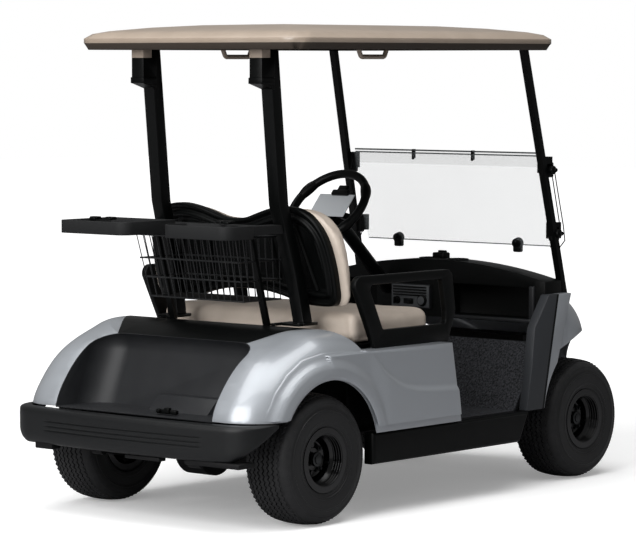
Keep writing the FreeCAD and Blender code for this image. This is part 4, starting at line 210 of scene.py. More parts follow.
FINISHES = (
    (rubber, "tyre_front_left tyre_front_right tyre_rear_left tyre_rear_right"),
    (rim_gloss, "rim_front_left rim_front_right rim_rear_left rim_rear_right"),
    (black, "battery_pack steering_wheel floor_pan rockers rear_deck seat_base seat_board seat_back_shell "
            "armrests dash bag_holder"),
    (coated, "steering_column rear_struts front_struts pedals basket basket_uprights"),
    (charcoal, "bagwell rear_bumper front_bumper switch_panel"),
    (silver, "rear_body front_cowl"), (vinyl, "seat_cushion seat_back_cushion"), (roof_mat, "roof roof_grips"),
    (mat_rubber, "floor_mat"), (acrylic, "windshield"), (lamp_glass, "headlamps"), (door_post, "cowl_sides"),
)
FINISH = {name: material for material, names in FINISHES for name in names.split()}
for name, piece in node.items():
    piece.data.materials.clear()
    piece.data.materials.append(FINISH.get(name, dark_chassis))


# Modelling helpers

def deselect():
    bpy.ops.object.select_all(action="DESELECT")


def make_active(piece):
    deselect()
    piece.select_set(True)
    bpy.context.view_layer.objects.active = piece


def edit(piece):
    make_active(piece)
    bpy.ops.object.mode_set(mode="EDIT")


def edit_all(piece):
    """Edit mode with everything selected."""
    edit(piece)
    bpy.ops.mesh.select_all(action="SELECT")


def done():
    bpy.ops.object.mode_set(mode="OBJECT")


def apply_place(piece):
    make_active(piece)
    bpy.ops.object.transform_apply(location=True, rotation=True, scale=True)


def modify(piece, kind, **settings):
    """Add a modifier, set it and apply it."""
    make_active(piece)
    modifier = piece.modifiers.new(kind.lower(), kind)
    for name, value in settings.items():
        setattr(modifier, name, value)
    bpy.ops.object.modifier_apply(modifier=modifier.name)


def smooth(piece, degrees=35):
    make_active(piece)
    bpy.ops.object.shade_smooth_by_angle(angle=math.radians(degrees))


def outward(piece):
    """Turn every face outwards."""
    edit_all(piece)
    bpy.ops.mesh.normals_make_consistent(inside=False)
    done()


def faced(piece, way):
    """Turn the faces of an open surface so that they look along a direction."""
    outward(piece)
    if sum(face.normal.dot(way) * face.area for face in piece.data.polygons) < 0:
        edit_all(piece)
        bpy.ops.mesh.flip_normals()
        done()


def pick(piece, chosen):
    """Select the points that a test chooses, and leave the piece in edit mode."""
    edit(piece)
    bpy.ops.mesh.select_mode(type="VERT")
    bpy.ops.mesh.select_all(action="DESELECT")
    done()
    for vertex in piece.data.vertices:
        vertex.select = chosen(vertex)
    bpy.ops.object.mode_set(mode="EDIT")


def paint(piece, material):
    piece.data.materials.clear()
    piece.data.materials.append(material)


BODY = {name: body for body, names in frame["record"]["behaviour"]["bodies"].items() for name in names}


def finish_piece(piece, name, material, owner, stands_in=False):
    """Name and paint a piece that moves with a CAD piece, and may stand in for it."""
    body = BODY[owner]
    replaced = (owner,) if stands_in else ()
    piece.name = name
    piece.data.name = name
    paint(piece, material)
    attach(piece, body)
    if replaced:
        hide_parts(*replaced)


def copied(piece, name):
    """A copy of a piece with its own mesh."""
    twin = piece.copy()
    twin.data = piece.data.copy()
    twin.name = name
    bpy.context.scene.collection.objects.link(twin)
    return twin


def join(pieces):
    deselect()
    for piece in pieces:
        piece.select_set(True)
    bpy.context.view_layer.objects.active = pieces[0]
    bpy.ops.object.join()
    return pieces[0]


def box(x, y, z, bevel=0.0, segments=2):
    """A block from three (low, high) pairs with rounded edges."""
    middle = [(a + b) / 2 for a, b in (x, y, z)]
    bpy.ops.mesh.primitive_cube_add(size=1, location=middle)
    piece = bpy.context.object
    piece.scale = [b - a for a, b in (x, y, z)]
    apply_place(piece)
    if bevel:
        modify(piece, "BEVEL", width=bevel, segments=segments, limit_method="ANGLE")
    smooth(piece)
    return piece


def drum(radius, length, place, axis="Z", bevel=0.0, vertices=48):
    """A cylinder with rounded rims, centred on a place."""
    turn = {"Z": (0, 0, 0), "Y": (math.pi / 2, 0, 0), "X": (0, math.pi / 2, 0)}[axis] if isinstance(axis, str) else \
        Vector(axis).to_track_quat("Z", "Y").to_euler()
    bpy.ops.mesh.primitive_cylinder_add(vertices=vertices, radius=radius, depth=length, location=place, rotation=turn)
    piece = bpy.context.object
    apply_place(piece)
    if bevel:
        modify(piece, "BEVEL", width=bevel, segments=2, limit_method="ANGLE")
    smooth(piece)
    return piece


def merged_copy(name, shown):
    """A copy of a CAD piece with its doubled points merged."""
    piece = copied(node[name], shown)
    edit_all(piece)
    bpy.ops.mesh.remove_doubles(threshold=0.02 * MM)
    done()
    return piece


def softened(name, bevel_mm, material):
    """A CAD piece with its sharp edges rounded, in place of the plain one."""
    piece = merged_copy(name, name + "_shown")
    edit_all(piece)
    bpy.ops.mesh.dissolve_limited(angle_limit=math.radians(1.0))
    done()
    modify(piece, "BEVEL", width=bevel_mm * MM, segments=2, limit_method="ANGLE", angle_limit=math.radians(32))
    smooth(piece, 40)
    finish_piece(piece, name + "_shown", material, name, True)


# Tyres: a carcass with ringed sidewalls under rows of saw-tooth ribs

AXLE_Z = 0.238
REAR_X = -0.745
FRONT_X = 0.915
WHEELS = (("rear_left", REAR_X, 0.490), ("rear_right", REAR_X, -0.490),
          ("front_left", FRONT_X, 0.435), ("front_right", FRONT_X, -0.435))
TREAD_STEPS = 140
TREAD_RADIUS = 0.238
TREAD_WIDTH = 0.150
RIBS = 7


def spun_ring(profile, steps, place):
    """Spin a closed outline of (radius, side) points once round the Y axis."""
    bpy.ops.mesh.primitive_circle_add(vertices=len(profile), radius=0.1, fill_type="NOTHING")
    ring = bpy.context.object
    for vertex, (radius, side) in zip(ring.data.vertices, profile):
        vertex.co = (radius, side, 0)
    edit_all(ring)
    bpy.ops.mesh.spin(steps=steps, angle=2 * math.pi, center=(0, 0, 0), axis=(0, 1, 0), dupli=False)
    bpy.ops.mesh.select_all(action="SELECT")
    bpy.ops.mesh.remove_doubles(threshold=0.00005)
    bpy.ops.mesh.normals_make_consistent(inside=False)
    done()
    ring.location = place
    apply_place(ring)
    return ring


def tyre_carcass():
    """Outline from bead to bead, with raised rings on the sidewall."""
    right = [(0.1035, 0.0890), (0.1195, 0.0890), (0.1205, 0.0945), (0.1260, 0.0985), (0.1275, 0.0975),
             (0.1340, 0.0985), (0.1355, 0.1000), (0.1420, 0.1010), (0.1435, 0.1000), (0.1600, 0.1013),
             (0.1760, 0.1015), (0.1775, 0.1028), (0.1830, 0.1026), (0.1845, 0.1010), (0.1950, 0.0990),
             (0.2050, 0.0955), (0.2062, 0.0965), (0.2120, 0.0935), (0.2175, 0.0890), (0.2225, 0.0830),
             (0.2255, 0.0760), (0.2270, 0.0680), (0.2290, 0.0400), (0.2300, 0.0)]
    left = [(radius, -side) for radius, side in reversed(right[:-1])]
    return spun_ring(right + left, 96, (0, 0, 0))


def tread_rib(low, high, top_low, top_high, swing):
    """One rib whose edges swing from side to side like saw teeth."""
    profile = [(0.2262, low), (top_low, low + 0.0006), (top_high, high - 0.0006), (0.2262, high)]
    rib = spun_ring(profile, TREAD_STEPS, (0, 0, 0))
    step = 2 * math.pi / TREAD_STEPS

    def odd(vertex):
        return round(math.atan2(vertex.co.z, vertex.co.x) / step) % 2 == 1

    pick(rib, odd)
    bpy.ops.transform.translate(value=(0, swing, 0))
    done()
    return rib


def whole_tyre():
    parts = [tyre_carcass()]
    pitch = TREAD_WIDTH / RIBS
    for index in range(RIBS):
        low = -TREAD_WIDTH / 2 + pitch * index + 0.0022
        high = low + pitch - 0.0050
        crown = [TREAD_RADIUS - 0.0075 * (side / 0.075) ** 2 for side in (low, high)]
        parts.append(tread_rib(low, high, crown[0], crown[1], 0.0085))
    tyre = join(parts)
    smooth(tyre, 30)
    return tyre


master_tyre = whole_tyre()
for wheel, x, y in WHEELS:
    name = "tyre_" + wheel
    twin = copied(master_tyre, name + "_treaded")
    twin.location = (x, y, AXLE_Z)
    apply_place(twin)
    finish_piece(twin, name + "_treaded", rubber, name, True)
bpy.data.objects.remove(master_tyre)


# Seat cushions: foam under vinyl, swollen by a short cloth simulation

CLOTH_FRAMES = 20
STUFFING_PRESSURE = 4.0


def inflated(piece, voxel_mm, cap_mm, held):
    """Swell a closed block like stuffed foam, holding the points that rest on something."""
    modify(piece, "REMESH", mode="VOXEL", voxel_size=voxel_mm * MM)
    make_active(piece)
    start = [vertex.co.copy() for vertex in piece.data.vertices]
    group = piece.vertex_groups.new(name="held")
    group.add([vertex.index for vertex in piece.data.vertices if held(vertex.co)], 1.0, "REPLACE")
    cloth = piece.modifiers.new("stuffing", "CLOTH")
    settings = cloth.settings
    settings.quality = 6
    settings.mass = 0.3
    settings.tension_stiffness = 22
    settings.compression_stiffness = 22
    settings.shear_stiffness = 12
    settings.bending_stiffness = 1.5
    settings.use_pressure = True
    settings.uniform_pressure_force = STUFFING_PRESSURE
    settings.effector_weights.gravity = 0
    settings.vertex_group_mass = "held"
    settings.pin_stiffness = 1.0
    scene = bpy.context.scene
    for frame_number in range(1, CLOTH_FRAMES + 1):
        scene.frame_set(frame_number)
    make_active(piece)
    bpy.ops.object.modifier_apply(modifier=cloth.name)
    scene.frame_set(1)
    for vertex, before in zip(piece.data.vertices, start):
        move = vertex.co - before
        if move.length > cap_mm * MM:
            vertex.co = before + move.normalized() * cap_mm * MM
    modify(piece, "SMOOTH", factor=0.5, iterations=4)
    modify(piece, "SUBSURF", levels=1, render_levels=1)
    make_active(piece)
    bpy.ops.object.shade_smooth()
    return piece


def seat_pad():
    """The bench cushion: a wide block with soft rounded edges."""
    low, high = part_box("seat_cushion")
    inset = 0.012
    pad = box((low[0] + inset, high[0] - inset), (low[1] + inset, high[1] - inset), (low[2] + 0.002, high[2] - inset),
              0.030, 5)
    bottom = low[2] + 0.004
    pad = inflated(pad, 8.5, 12.0, lambda co: co.z < bottom)
    finish_piece(pad, "bench_cushion", vinyl, "seat_cushion", True)


seat_pad()


# Body panels: rounded edges, pressed creases and grooves

def blend_step(value, low, high):
    """0 below low, 1 above high, and a smooth change between."""
    t = min(1.0, max(0.0, (value - low) / (high - low)))
    return t * t * (3 - 2 * t)


def along_line(points, share):
    """The place at a share of the length of a line of points."""
    lengths = [(b - a).length for a, b in zip(points, points[1:])]
    want = share * sum(lengths)
    for a, b, length in zip(points, points[1:], lengths):
        if want <= length or b is points[-1]:
            return a.lerp(b, min(1.0, want / length))
        want -= length
    return points[-1]


ARCH = Vector((-0.735, 0.258))
ARCH_RADIUS = 0.2685
CREASE = [(-0.600, 0.640), (-0.540, 0.618), (-0.495, 0.607), (-0.466, 0.572), (-0.437, 0.540), (-0.397, 0.512),
          (-0.356, 0.490), (-0.310, 0.472), (-0.251, 0.460), (-0.162, 0.452), (0.060, 0.441)]


def crease_height(x):
    """Height of the door panel's crease at a place along the cart."""
    for (xa, za), (xb, zb) in zip(CREASE, CREASE[1:]):
        if xa <= x <= xb:
            return za + (zb - za) * (x - xa) / (xb - xa)
    return CREASE[0][1] if x < CREASE[0][0] else CREASE[-1][1]


def flank_rise(x, z):
    """How far the pressed side stands proud: a flare round the arch and a fuller lower door panel."""
    away = (Vector((x, z)) - ARCH).length
    flare = 0.0140 * (1 - blend_step(away, 0.305, 0.347))
    lip = -0.004 * (1 - blend_step(away, ARCH_RADIUS, ARCH_RADIUS + 0.009))
    low = 1 - blend_step(z, crease_height(x) - 0.008, crease_height(x) + 0.007)
    door = 0.0115 * low * blend_step(x, -0.520, -0.400)
    return 0.0012 + max(flare, door) + lip


def flank_skin(hand, sign):
    """A pressed sheet that follows the body's side from the wheel arch to its edges."""
    columns, rows = 150, 54
    first, last = math.radians(17.5), math.radians(148.0)
    arc = [ARCH + Vector((math.cos(a), math.sin(a))) * ARCH_RADIUS
           for a in (first + (last - first) * i / 90 for i in range(91))]
    rim = [Vector(p) for p in ((0.0135, 0.3385), (-0.0275, 0.6075), (-0.30, 0.6085), (-0.48, 0.612), (-0.62, 0.625),
                               (-0.74, 0.628), (-0.85, 0.608), (-0.94, 0.560), (-1.005, 0.500), (-1.045, 0.440),
                               (-1.062, 0.4005))]
    bpy.ops.mesh.primitive_grid_add(x_subdivisions=columns, y_subdivisions=rows, size=1)
    skin = bpy.context.object
    body = node["rear_body"]
    for vertex in skin.data.vertices:
        across = vertex.co.x + 0.5
        out = vertex.co.y + 0.5
        place = along_line(arc, across).lerp(along_line(rim, across), out)
        start = Vector((place.x, sign * 0.9, place.y))
        hit, where, normal, index = body.ray_cast(start, Vector((0, -sign, 0)))
        if not hit:
            where, normal = Vector((place.x, sign * 0.600, place.y)), Vector((0, sign, 0))
        if normal.y * sign < 0.2:
            normal = Vector((0, sign, 0))
        rise = flank_rise(place.x, place.y)
        near_top = blend_step(1 - out, 0.0, 0.08) if 0.17 < across < 0.97 else 1.0
        vertex.co = where + normal * (rise * near_top - 0.0008 * (1 - near_top))
    modify(skin, "SMOOTH", factor=0.5, iterations=2)
    faced(skin, Vector((0, sign, 0)))
    modify(skin, "SOLIDIFY", thickness=0.003, offset=-1.0)
    smooth(skin, 50)
    finish_piece(skin, "pressed_side_" + hand, silver, "rear_body")


for hand, sign in (("left", 1), ("right", -1)):
    flank_skin(hand, sign)


BUMPER_TOP = 0.392
BUMPER_FOOT = 0.2575
BUMPER_SECTION = [(-0.045, 0.3915), (-0.030, 0.3915), (-0.016, 0.3905), (-0.009, 0.3880), (-0.004, 0.3840),
                  (-0.001, 0.3780), (0.0, 0.3700), (0.0, 0.3600), (0.0, 0.3500), (0.0, 0.3475), (-1, 0.3465),
                  (-1, 0.3435), (0.0, 0.3425), (0.0, 0.3360), (0.0, 0.3295), (-1, 0.3285), (-1, 0.3255),
                  (0.0, 0.3245), (0.0, 0.3190), (0.0, 0.3135), (-1, 0.3125), (-1, 0.3095), (0.0, 0.3085),
                  (0.0, 0.3000), (0.0, 0.2900), (-0.001, 0.2800), (-0.004, 0.2700), (-0.009, 0.2635),
                  (-0.016, 0.2590), (-0.026, 0.2575), (-0.040, 0.2580)]


def bumper_foot(x):
    """Lower edge of the bumper: it rises along the slanted ends of the sides."""
    share = min(1.0, max(0.0, (x + 1.178) / 0.177))
    return BUMPER_FOOT + (BUMPER_TOP - 0.010 - BUMPER_FOOT) * (share ** 0.85)


def grooved_bumper():
    """The rear bumper: one section with three grooves, carried round the bowed face and the ends."""
    body = node["rear_bumper"]
    plan = []
    for step in range(181):
        turn = math.radians(90 + step)
        way = Vector((math.cos(turn), math.sin(turn), 0))
        centre = Vector((-1.002, 0, 0.374))
        hit, where, normal, index = body.ray_cast(centre + way * 1.2, -way)
        if hit:
            plan.append(Vector((where.x, where.y)))
    columns = 150
    rows = len(BUMPER_SECTION)
    bpy.ops.mesh.primitive_grid_add(x_subdivisions=columns - 1, y_subdivisions=rows - 1, size=1)
    piece = bpy.context.object
    path = [along_line(plan, index / (columns - 1)) for index in range(columns)]
    outs = []
    for index in range(columns):
        run = path[min(columns - 1, index + 1)] - path[max(0, index - 1)]
        outs.append(Vector((run.y, -run.x)).normalized())
    if outs[columns // 2].x > 0:
        outs = [-out for out in outs]
    for vertex in piece.data.vertices:
        column = round((vertex.co.x + 0.5) * (columns - 1))
        row = round((vertex.co.y + 0.5) * (rows - 1))
        offset, z = BUMPER_SECTION[row]
        place = path[column]
        if offset < -0.5:
            offset = -0.0050 * (1 - blend_step(abs(place.y), 0.370, 0.392))
        foot = bumper_foot(place.x)
        z = foot + (z - BUMPER_FOOT) * (BUMPER_TOP - foot) / (BUMPER_TOP - BUMPER_FOOT)
        spot = place + outs[column] * offset
        vertex.co = (spot.x, spot.y, z)
    faced(piece, Vector((-1, 0, 0)))
    modify(piece, "SOLIDIFY", thickness=0.004, offset=-1.0)
    modify(piece, "BEVEL", width=0.0012, segments=2, limit_method="ANGLE", angle_limit=math.radians(40))
    smooth(piece, 50)
    finish_piece(piece, "rear_bumper_shown", bumper_plastic, "rear_bumper", True)


grooved_bumper()
for name, width, material in (("rear_body", 3, silver), ("bagwell", 9, charcoal), ("rockers", 2, black),
                              ("armrests", 4, black), ("dash", 4, black),
                              ("cowl_sides", 3, door_post), ("front_cowl", 2.5, silver), ("rear_deck", 3, black),
                              ("rear_struts", 2.5, coated), ("bag_holder", 2.5, webbing), ("roof", 4, roof_mat),
                              ("front_bumper", 4, charcoal), ("seat_base", 2, black)):
    softened(name, width, material)


# Where the bag loops' corners start, and where their arms pass the struts
LOOP_CORNER_X = -1.093
LOOP_CORNER_Y = 0.310
ARM_END_X = -0.863


def squared_holder():
    """Sharper corners on the bag loops, and arms that end against the struts."""
    holder = bpy.data.objects["bag_holder_shown"]
    for vertex in holder.data.vertices:
        side = 1 if vertex.co.y > 0 else -1
        out = Vector((LOOP_CORNER_X - vertex.co.x, abs(vertex.co.y) - LOOP_CORNER_Y))
        if out.x > 0 and out.y > 0:
            out *= 1 + 0.8 * (out.length / max(out.x, out.y) - 1)
            vertex.co.x = LOOP_CORNER_X - out.x
            vertex.co.y = side * (LOOP_CORNER_Y + out.y)
        if vertex.co.x > ARM_END_X and abs(vertex.co.y) > LOOP_CORNER_Y:
            vertex.co.y = side * (LOOP_CORNER_Y + (abs(vertex.co.y) - LOOP_CORNER_Y) * 0.1)


squared_holder()


# Small hardware

STUD_CIRCLE = 0.0508

def surface(name, start, way):
    """Where a line meets a CAD piece."""
    hit, where, normal, index = node[name].ray_cast(Vector(start), Vector(way).normalized())
    return where if hit else Vector(start)


def hexagon(radius, length, place, axis):
    """A nut: six sides with a chamfered outer end."""
    nut = drum(radius, length, place, axis, 0.0, 6)
    modify(nut, "BEVEL", width=radius * 0.16, segments=2, limit_method="ANGLE")
    smooth(nut)
    return nut


for wheel, x, y in WHEELS:
    rim = "rim_" + wheel
    way = -1 if y > 0 else 1
    hardware = []
    for index in range(4):
        turn = math.radians(45 + 90 * index)
        across = Vector((math.cos(turn), 0, math.sin(turn))) * STUD_CIRCLE
        seat = surface(rim, (x + across.x, y - way * 0.3, AXLE_Z + across.z), (0, way, 0))
        hardware.append(hexagon(0.0105, 0.016, seat - Vector((0, way * 0.007, 0)), "Y"))
        hardware.append(drum(0.0060, 0.010, seat - Vector((0, way * 0.018, 0)), "Y", 0.0015, 20))
    seat = surface(rim, (x, y - way * 0.3, AXLE_Z), (0, way, 0))
    hardware.append(drum(0.027, 0.014, seat - Vector((0, way * 0.005, 0)), "Y", 0.004))
    hardware.append(drum(0.018, 0.010, seat - Vector((0, way * 0.012, 0)), "Y", 0.004))
    seat = surface(rim, (x + 0.076, y - way * 0.3, AXLE_Z - 0.02), (0, way, 0))
    hardware.append(drum(0.0045, 0.034, seat - Vector((0, way * 0.015, 0)), "Y", 0.001, 16))
    finish_piece(join(hardware), "wheel_nuts_" + wheel, nut_steel, rim)


# Windshield: clips, hooks, hinge beads, knobs and stretched cords

def pane_x(z):
    """Place of the folded pane's face at a height."""
    return 0.779 - (z - 0.930) * 0.091 / 0.372


def clip(y):
    """A round rubber clip that holds the folded pane's free edge."""
    base = drum(0.021, 0.030, (pane_x(0.934) - 0.008, y, 0.938), (1, 0, 0.24), 0.005)
    tail = box((0.758, 0.786), (y - 0.017, y + 0.017), (0.902, 0.940), 0.006, 3)
    nose = drum(0.009, 0.012, (pane_x(0.934) - 0.027, y, 0.940), (1, 0, 0.24), 0.002, 24)
    return join([base, tail, nose])


bits = [clip(0.308), clip(-0.303)]
for y in (0.167, -0.136):
    bits.append(box((pane_x(1.285) - 0.010, pane_x(1.285) + 0.008), (y - 0.004, y + 0.004), (1.268, 1.306), 0.0015))
    bits.append(drum(0.0045, 0.009, (pane_x(1.268) - 0.009, y, 1.268), "Y", 0.001, 20))
finish_piece(join(bits), "windshield_clips", black, "windshield")

beads = []
for z, radius in ((1.3015, 0.0032), (1.290, 0.0028)):
    beads.append(drum(radius, 0.944, (pane_x(z) - 0.001, 0, z), "Y", 0.0, 16))
beads.append(drum(0.0022, 0.944, (pane_x(0.9315), 0, 0.9315), "Y", 0.0, 16))
beads.append(drum(0.0022, 0.944, (0.7975, 0, 0.800), "Y", 0.0, 16))
finish_piece(join(beads), "windshield_edges", edge_grey, "windshield")

knobs = []
for side in (-1, 1):
    for x, z in ((0.704, 1.236), (0.745, 0.985)):
        knobs.append(drum(0.017, 0.020, (x, side * 0.520, z), "Y", 0.004, 24))
        knobs.append(drum(0.008, 0.014, (x, side * 0.535, z), "Y", 0.002, 20))
        knobs.append(box((x - 0.026, x + 0.026), (side * 0.500 - 0.010, side * 0.500 + 0.010),
                         (z - 0.030, z + 0.030), 0.006, 3))
finish_piece(join(knobs), "windshield_knobs", black, "front_struts")


CORD_RADIUS = 0.0022


def stretched(points, name):
    """A cord drawn tight between points."""
    pieces = []
    for a, b in zip(points, points[1:]):
        a, b = Vector(a), Vector(b)
        pieces.append(drum(CORD_RADIUS, (b - a).length + CORD_RADIUS, (a + b) / 2, b - a, 0.0, 12))
    finish_piece(join(pieces), name, black, "front_struts")


for side, hand in ((1, "left"), (-1, "right")):
    stretched([(0.690, side * 0.524, 1.245), (0.752, side * 0.524, 1.010)], "pane_cord_%s_a" % hand)
    stretched([(0.704, side * 0.530, 1.236), (0.772, side * 0.526, 1.012), (0.790, side * 0.520, 0.955),
               (0.762, side * 0.512, 0.925), (0.716, side * 0.505, 0.932)], "pane_cord_%s_b" % hand)


# Dash: switch panel, key, gauge, vents, glovebox lip and cup rims

face = 0.609
panel = box((face - 0.004, face + 0.006), (0.020, 0.212), (0.671, 0.761), 0.004, 3)
finish_piece(panel, "switch_plate", grey_panel, "switch_panel")
gear = [drum(0.016, 0.008, (face - 0.006, 0.180, 0.697), "X", 0.003),
        drum(0.010, 0.012, (face - 0.013, 0.180, 0.697), "X", 0.002, 24),
        box((face - 0.030, face - 0.016), (0.177, 0.183), (0.683, 0.711), 0.002),
        box((face - 0.010, face - 0.002), (0.098, 0.146), (0.684, 0.706), 0.003, 3),
        box((face - 0.014, face - 0.008), (0.103, 0.121), (0.687, 0.703), 0.002)]
for row in range(4):
    z = 0.750 - row * 0.011
    gear.append(box((face - 0.010, face - 0.003), (0.030, 0.200), (z, z + 0.005), 0.0015))
finish_piece(join(gear), "dash_switches", black, "switch_panel")
bezel = join([drum(0.024, 0.008, (face - 0.006, 0.052, 0.700), "X", 0.003),
              drum(0.020, 0.004, (face - 0.011, 0.052, 0.700), "X", 0.001)])
finish_piece(bezel, "dash_gauge", coated, "switch_panel")
dial = drum(0.017, 0.002, (face - 0.0135, 0.052, 0.700), "X", 0.0005)
finish_piece(dial, "dash_gauge_face", grey_panel, "switch_panel")

lips = [box((0.606, 0.630), (-0.486, -0.046), (0.636, 0.652), 0.005, 3),
        box((0.612, 0.630), (-0.500, -0.474), (0.640, 0.782), 0.006, 3)]
finish_piece(join(lips), "glovebox_lip", charcoal, "dash")


def cup_rim(y):
    """A raised rim round a cup holder."""
    bpy.ops.mesh.primitive_torus_add(location=(0.679, y, 0.868), major_radius=0.042, minor_radius=0.004,
                                     major_segments=48, minor_segments=12)
    rim = bpy.context.object
    apply_place(rim)
    edit_all(rim)
    bpy.ops.transform.resize(value=(1, 1, 0.8), center_override=(0.679, y, 0.868))
    done()
    smooth(rim, 60)
    return rim


cups = [cup_rim(0.070), cup_rim(-0.070),
        box((0.690, 0.735), (0.010, 0.070), (0.862, 0.890), 0.006, 3),
        box((0.712, 0.728), (0.020, 0.058), (0.884, 0.898), 0.004, 3)]
finish_piece(join(cups), "cup_rims", black, "dash")

# Steering wheel: grip swellings, the clip over the hub and its bare plate

TILT = math.radians(42)
COLUMN = Vector((math.cos(TILT), 0, -math.sin(TILT)))
WHEEL = Vector((0.250, 0.250, 1.084))
WHEEL_UP = Vector((math.sin(TILT), 0, math.cos(TILT)))
GRIP_CIRCLE = 0.172


def on_wheel(up, left, out):
    """A place on the steering wheel: up its face, to the left, and out towards the driver."""
    return WHEEL + WHEEL_UP * up + Vector((0, left, 0)) - COLUMN * out


def turned_box(size, middle, bevel):
    """A block that lies in the steering wheel's plane."""
    block = box((-size[0] / 2, size[0] / 2), (-size[1] / 2, size[1] / 2), (-size[2] / 2, size[2] / 2), bevel, 3)
    block.rotation_euler = (0, TILT, 0)
    block.location = middle
    apply_place(block)
    return block


def grip(middle_degrees):
    """A swelling of the rim where a thumb rests."""
    pieces = []
    for step in range(-6, 7):
        turn = math.radians(middle_degrees + step * 2.4)
        size = 0.0160 + 0.0055 * math.cos(step / 6 * math.pi / 2)
        place = on_wheel(math.sin(turn) * GRIP_CIRCLE, math.cos(turn) * GRIP_CIRCLE, 0)
        along_rim = WHEEL_UP * math.cos(turn) - Vector((0, math.sin(turn), 0))
        pieces.append(drum(size, 0.0085, place, along_rim, 0.0, 24))
    piece = join(pieces)
    modify(piece, "REMESH", mode="VOXEL", voxel_size=0.0026)
    modify(piece, "SMOOTH", factor=0.5, iterations=6)
    smooth(piece, 60)
    return piece


grips = join([grip(angle) for angle in (30, 150, 215, 325)])
finish_piece(grips, "wheel_grips", black, "steering_wheel")
plate = turned_box((0.005, 0.180, 0.112), on_wheel(0.004, -0.022, 0.006), 0.002)
finish_piece(plate, "card_plate", pale_plate, "steering_wheel")
card_clip = [turned_box((0.018, 0.086, 0.024), on_wheel(0.064, -0.040, 0.012), 0.005),
             turned_box((0.014, 0.050, 0.034), on_wheel(0.084, -0.040, 0.010), 0.004)]
finish_piece(join(card_clip), "card_clip", coated, "steering_wheel")


# Seat back: one shell with a doubled rim round it, and the cushion that it carries

BACK_HALF = ((0.000, 1.080), (0.060, 1.085), (0.120, 1.102), (0.190, 1.121), (0.262, 1.131), (0.325, 1.127),
             (0.375, 1.110), (0.415, 1.080), (0.447, 1.036), (0.466, 0.980), (0.475, 0.906), (0.475, 0.840),
             (0.471, 0.800), (0.455, 0.774), (0.425, 0.765), (0.350, 0.765), (0.280, 0.772), (0.190, 0.796),
             (0.100, 0.811), (0.000, 0.815))


def shell_x(z):
    """Place of the shell's rear face at a height."""
    return -0.520 - 0.081 * (z - 0.792) / 0.351


def back_loop(count):
    """Even points round the seat back's edge, on a smooth curve through its corners."""
    corners = [Vector(p) for p in BACK_HALF]
    corners += [Vector((-p[0], p[1])) for p in BACK_HALF[-2:0:-1]]
    fine = []
    total = len(corners)
    for index in range(total):
        before, start, end, after = (corners[(index + shift) % total] for shift in (-1, 0, 1, 2))
        for part in range(24):
            t = part / 24
            fine.append(0.5 * (2 * start + (end - before) * t + (2 * before - 5 * start + 4 * end - after) * t * t
                               + (3 * start - before - 3 * end + after) * t ** 3))
    lengths = [0.0]
    for index, point in enumerate(fine):
        lengths.append(lengths[-1] + (fine[(index + 1) % len(fine)] - point).length)
    ring = []
    place = 0
    for index in range(count):
        want = lengths[-1] * index / count
        while lengths[place + 1] < want:
            place += 1
        share = (want - lengths[place]) / (lengths[place + 1] - lengths[place])
        ring.append(fine[place].lerp(fine[(place + 1) % len(fine)], share))
    return ring


def inset_loop(ring, inset):
    """The edge moved inwards by a distance, evened out a little more the further it goes."""
    count = len(ring)
    moved = []
    for index, point in enumerate(ring):
        chord = (ring[(index + 2) % count] - ring[index - 2]).normalized()
        moved.append(point + Vector((-chord.y, chord.x)) * -inset)
    for turn in range(int(abs(inset) * 500)):
        moved = [(moved[i - 1] + moved[i] * 2 + moved[(i + 1) % count]) / 4 for i in range(count)]
    return moved


def banded(rows, name):
    """A surface of closed rings, from a grid whose columns run round and whose rows are given."""
    count = len(rows[0])
    bpy.ops.mesh.primitive_grid_add(x_subdivisions=count, y_subdivisions=len(rows) - 1, size=2)
    piece = bpy.context.object
    piece.name = name
    for vertex in piece.data.vertices:
        column = round((vertex.co.x + 1) / 2 * count)
        row = round((vertex.co.y + 1) / 2 * (len(rows) - 1))
        vertex.co = rows[row][column % count]
    edit_all(piece)
    bpy.ops.mesh.remove_doubles(threshold=0.01 * MM)
    done()
    return piece


def ring_at(ring, depth):
    """A ring of points at a depth in front of the shell's rear face."""
    return [Vector((shell_x(p.y) + depth, p.x, p.y)) for p in ring]


def narrowed(ring, share):
    """The ring drawn in towards the middle line of the seat back."""
    return [Vector((p.x * share, 0.94 + (p.y - 0.94) * share)) for p in ring]


def back_shell():
    """The moulded shell: turned edge, two rounded beads and a recessed panel."""
    edge = [Vector((point.x * 0.945, point.y)) for point in back_loop(240)]
    profile = [(0.0, 0.034), (0.0, 0.009)]
    for step in range(1, 7):
        turn = math.pi / 2 * step / 6
        profile.append((0.009 - 0.009 * math.cos(turn), 0.009 - 0.009 * math.sin(turn)))
    profile += [(0.013, 0.0015), (0.017, 0.006), (0.020, 0.011), (0.024, 0.0125), (0.028, 0.011), (0.031, 0.006),
                (0.035, 0.0015), (0.040, 0.0), (0.045, 0.0015), (0.049, 0.006), (0.052, 0.014), (0.056, 0.021),
                (0.064, 0.0235)]
    rows = [ring_at(inset_loop(edge, inset), depth) for inset, depth in profile]
    inner = inset_loop(edge, 0.064)
    rows += [ring_at(narrowed(inner, share), 0.0235) for share in (0.9, 0.75, 0.5, 0.25, 0.0)]
    shell = banded(rows, "back_shell")
    faced(shell, Vector((-1, 0, 0)))
    modify(shell, "SOLIDIFY", thickness=0.004, offset=-1.0)
    smooth(shell, 50)
    finish_piece(shell, "seat_back_shell_shown", black, "seat_back_shell", True)


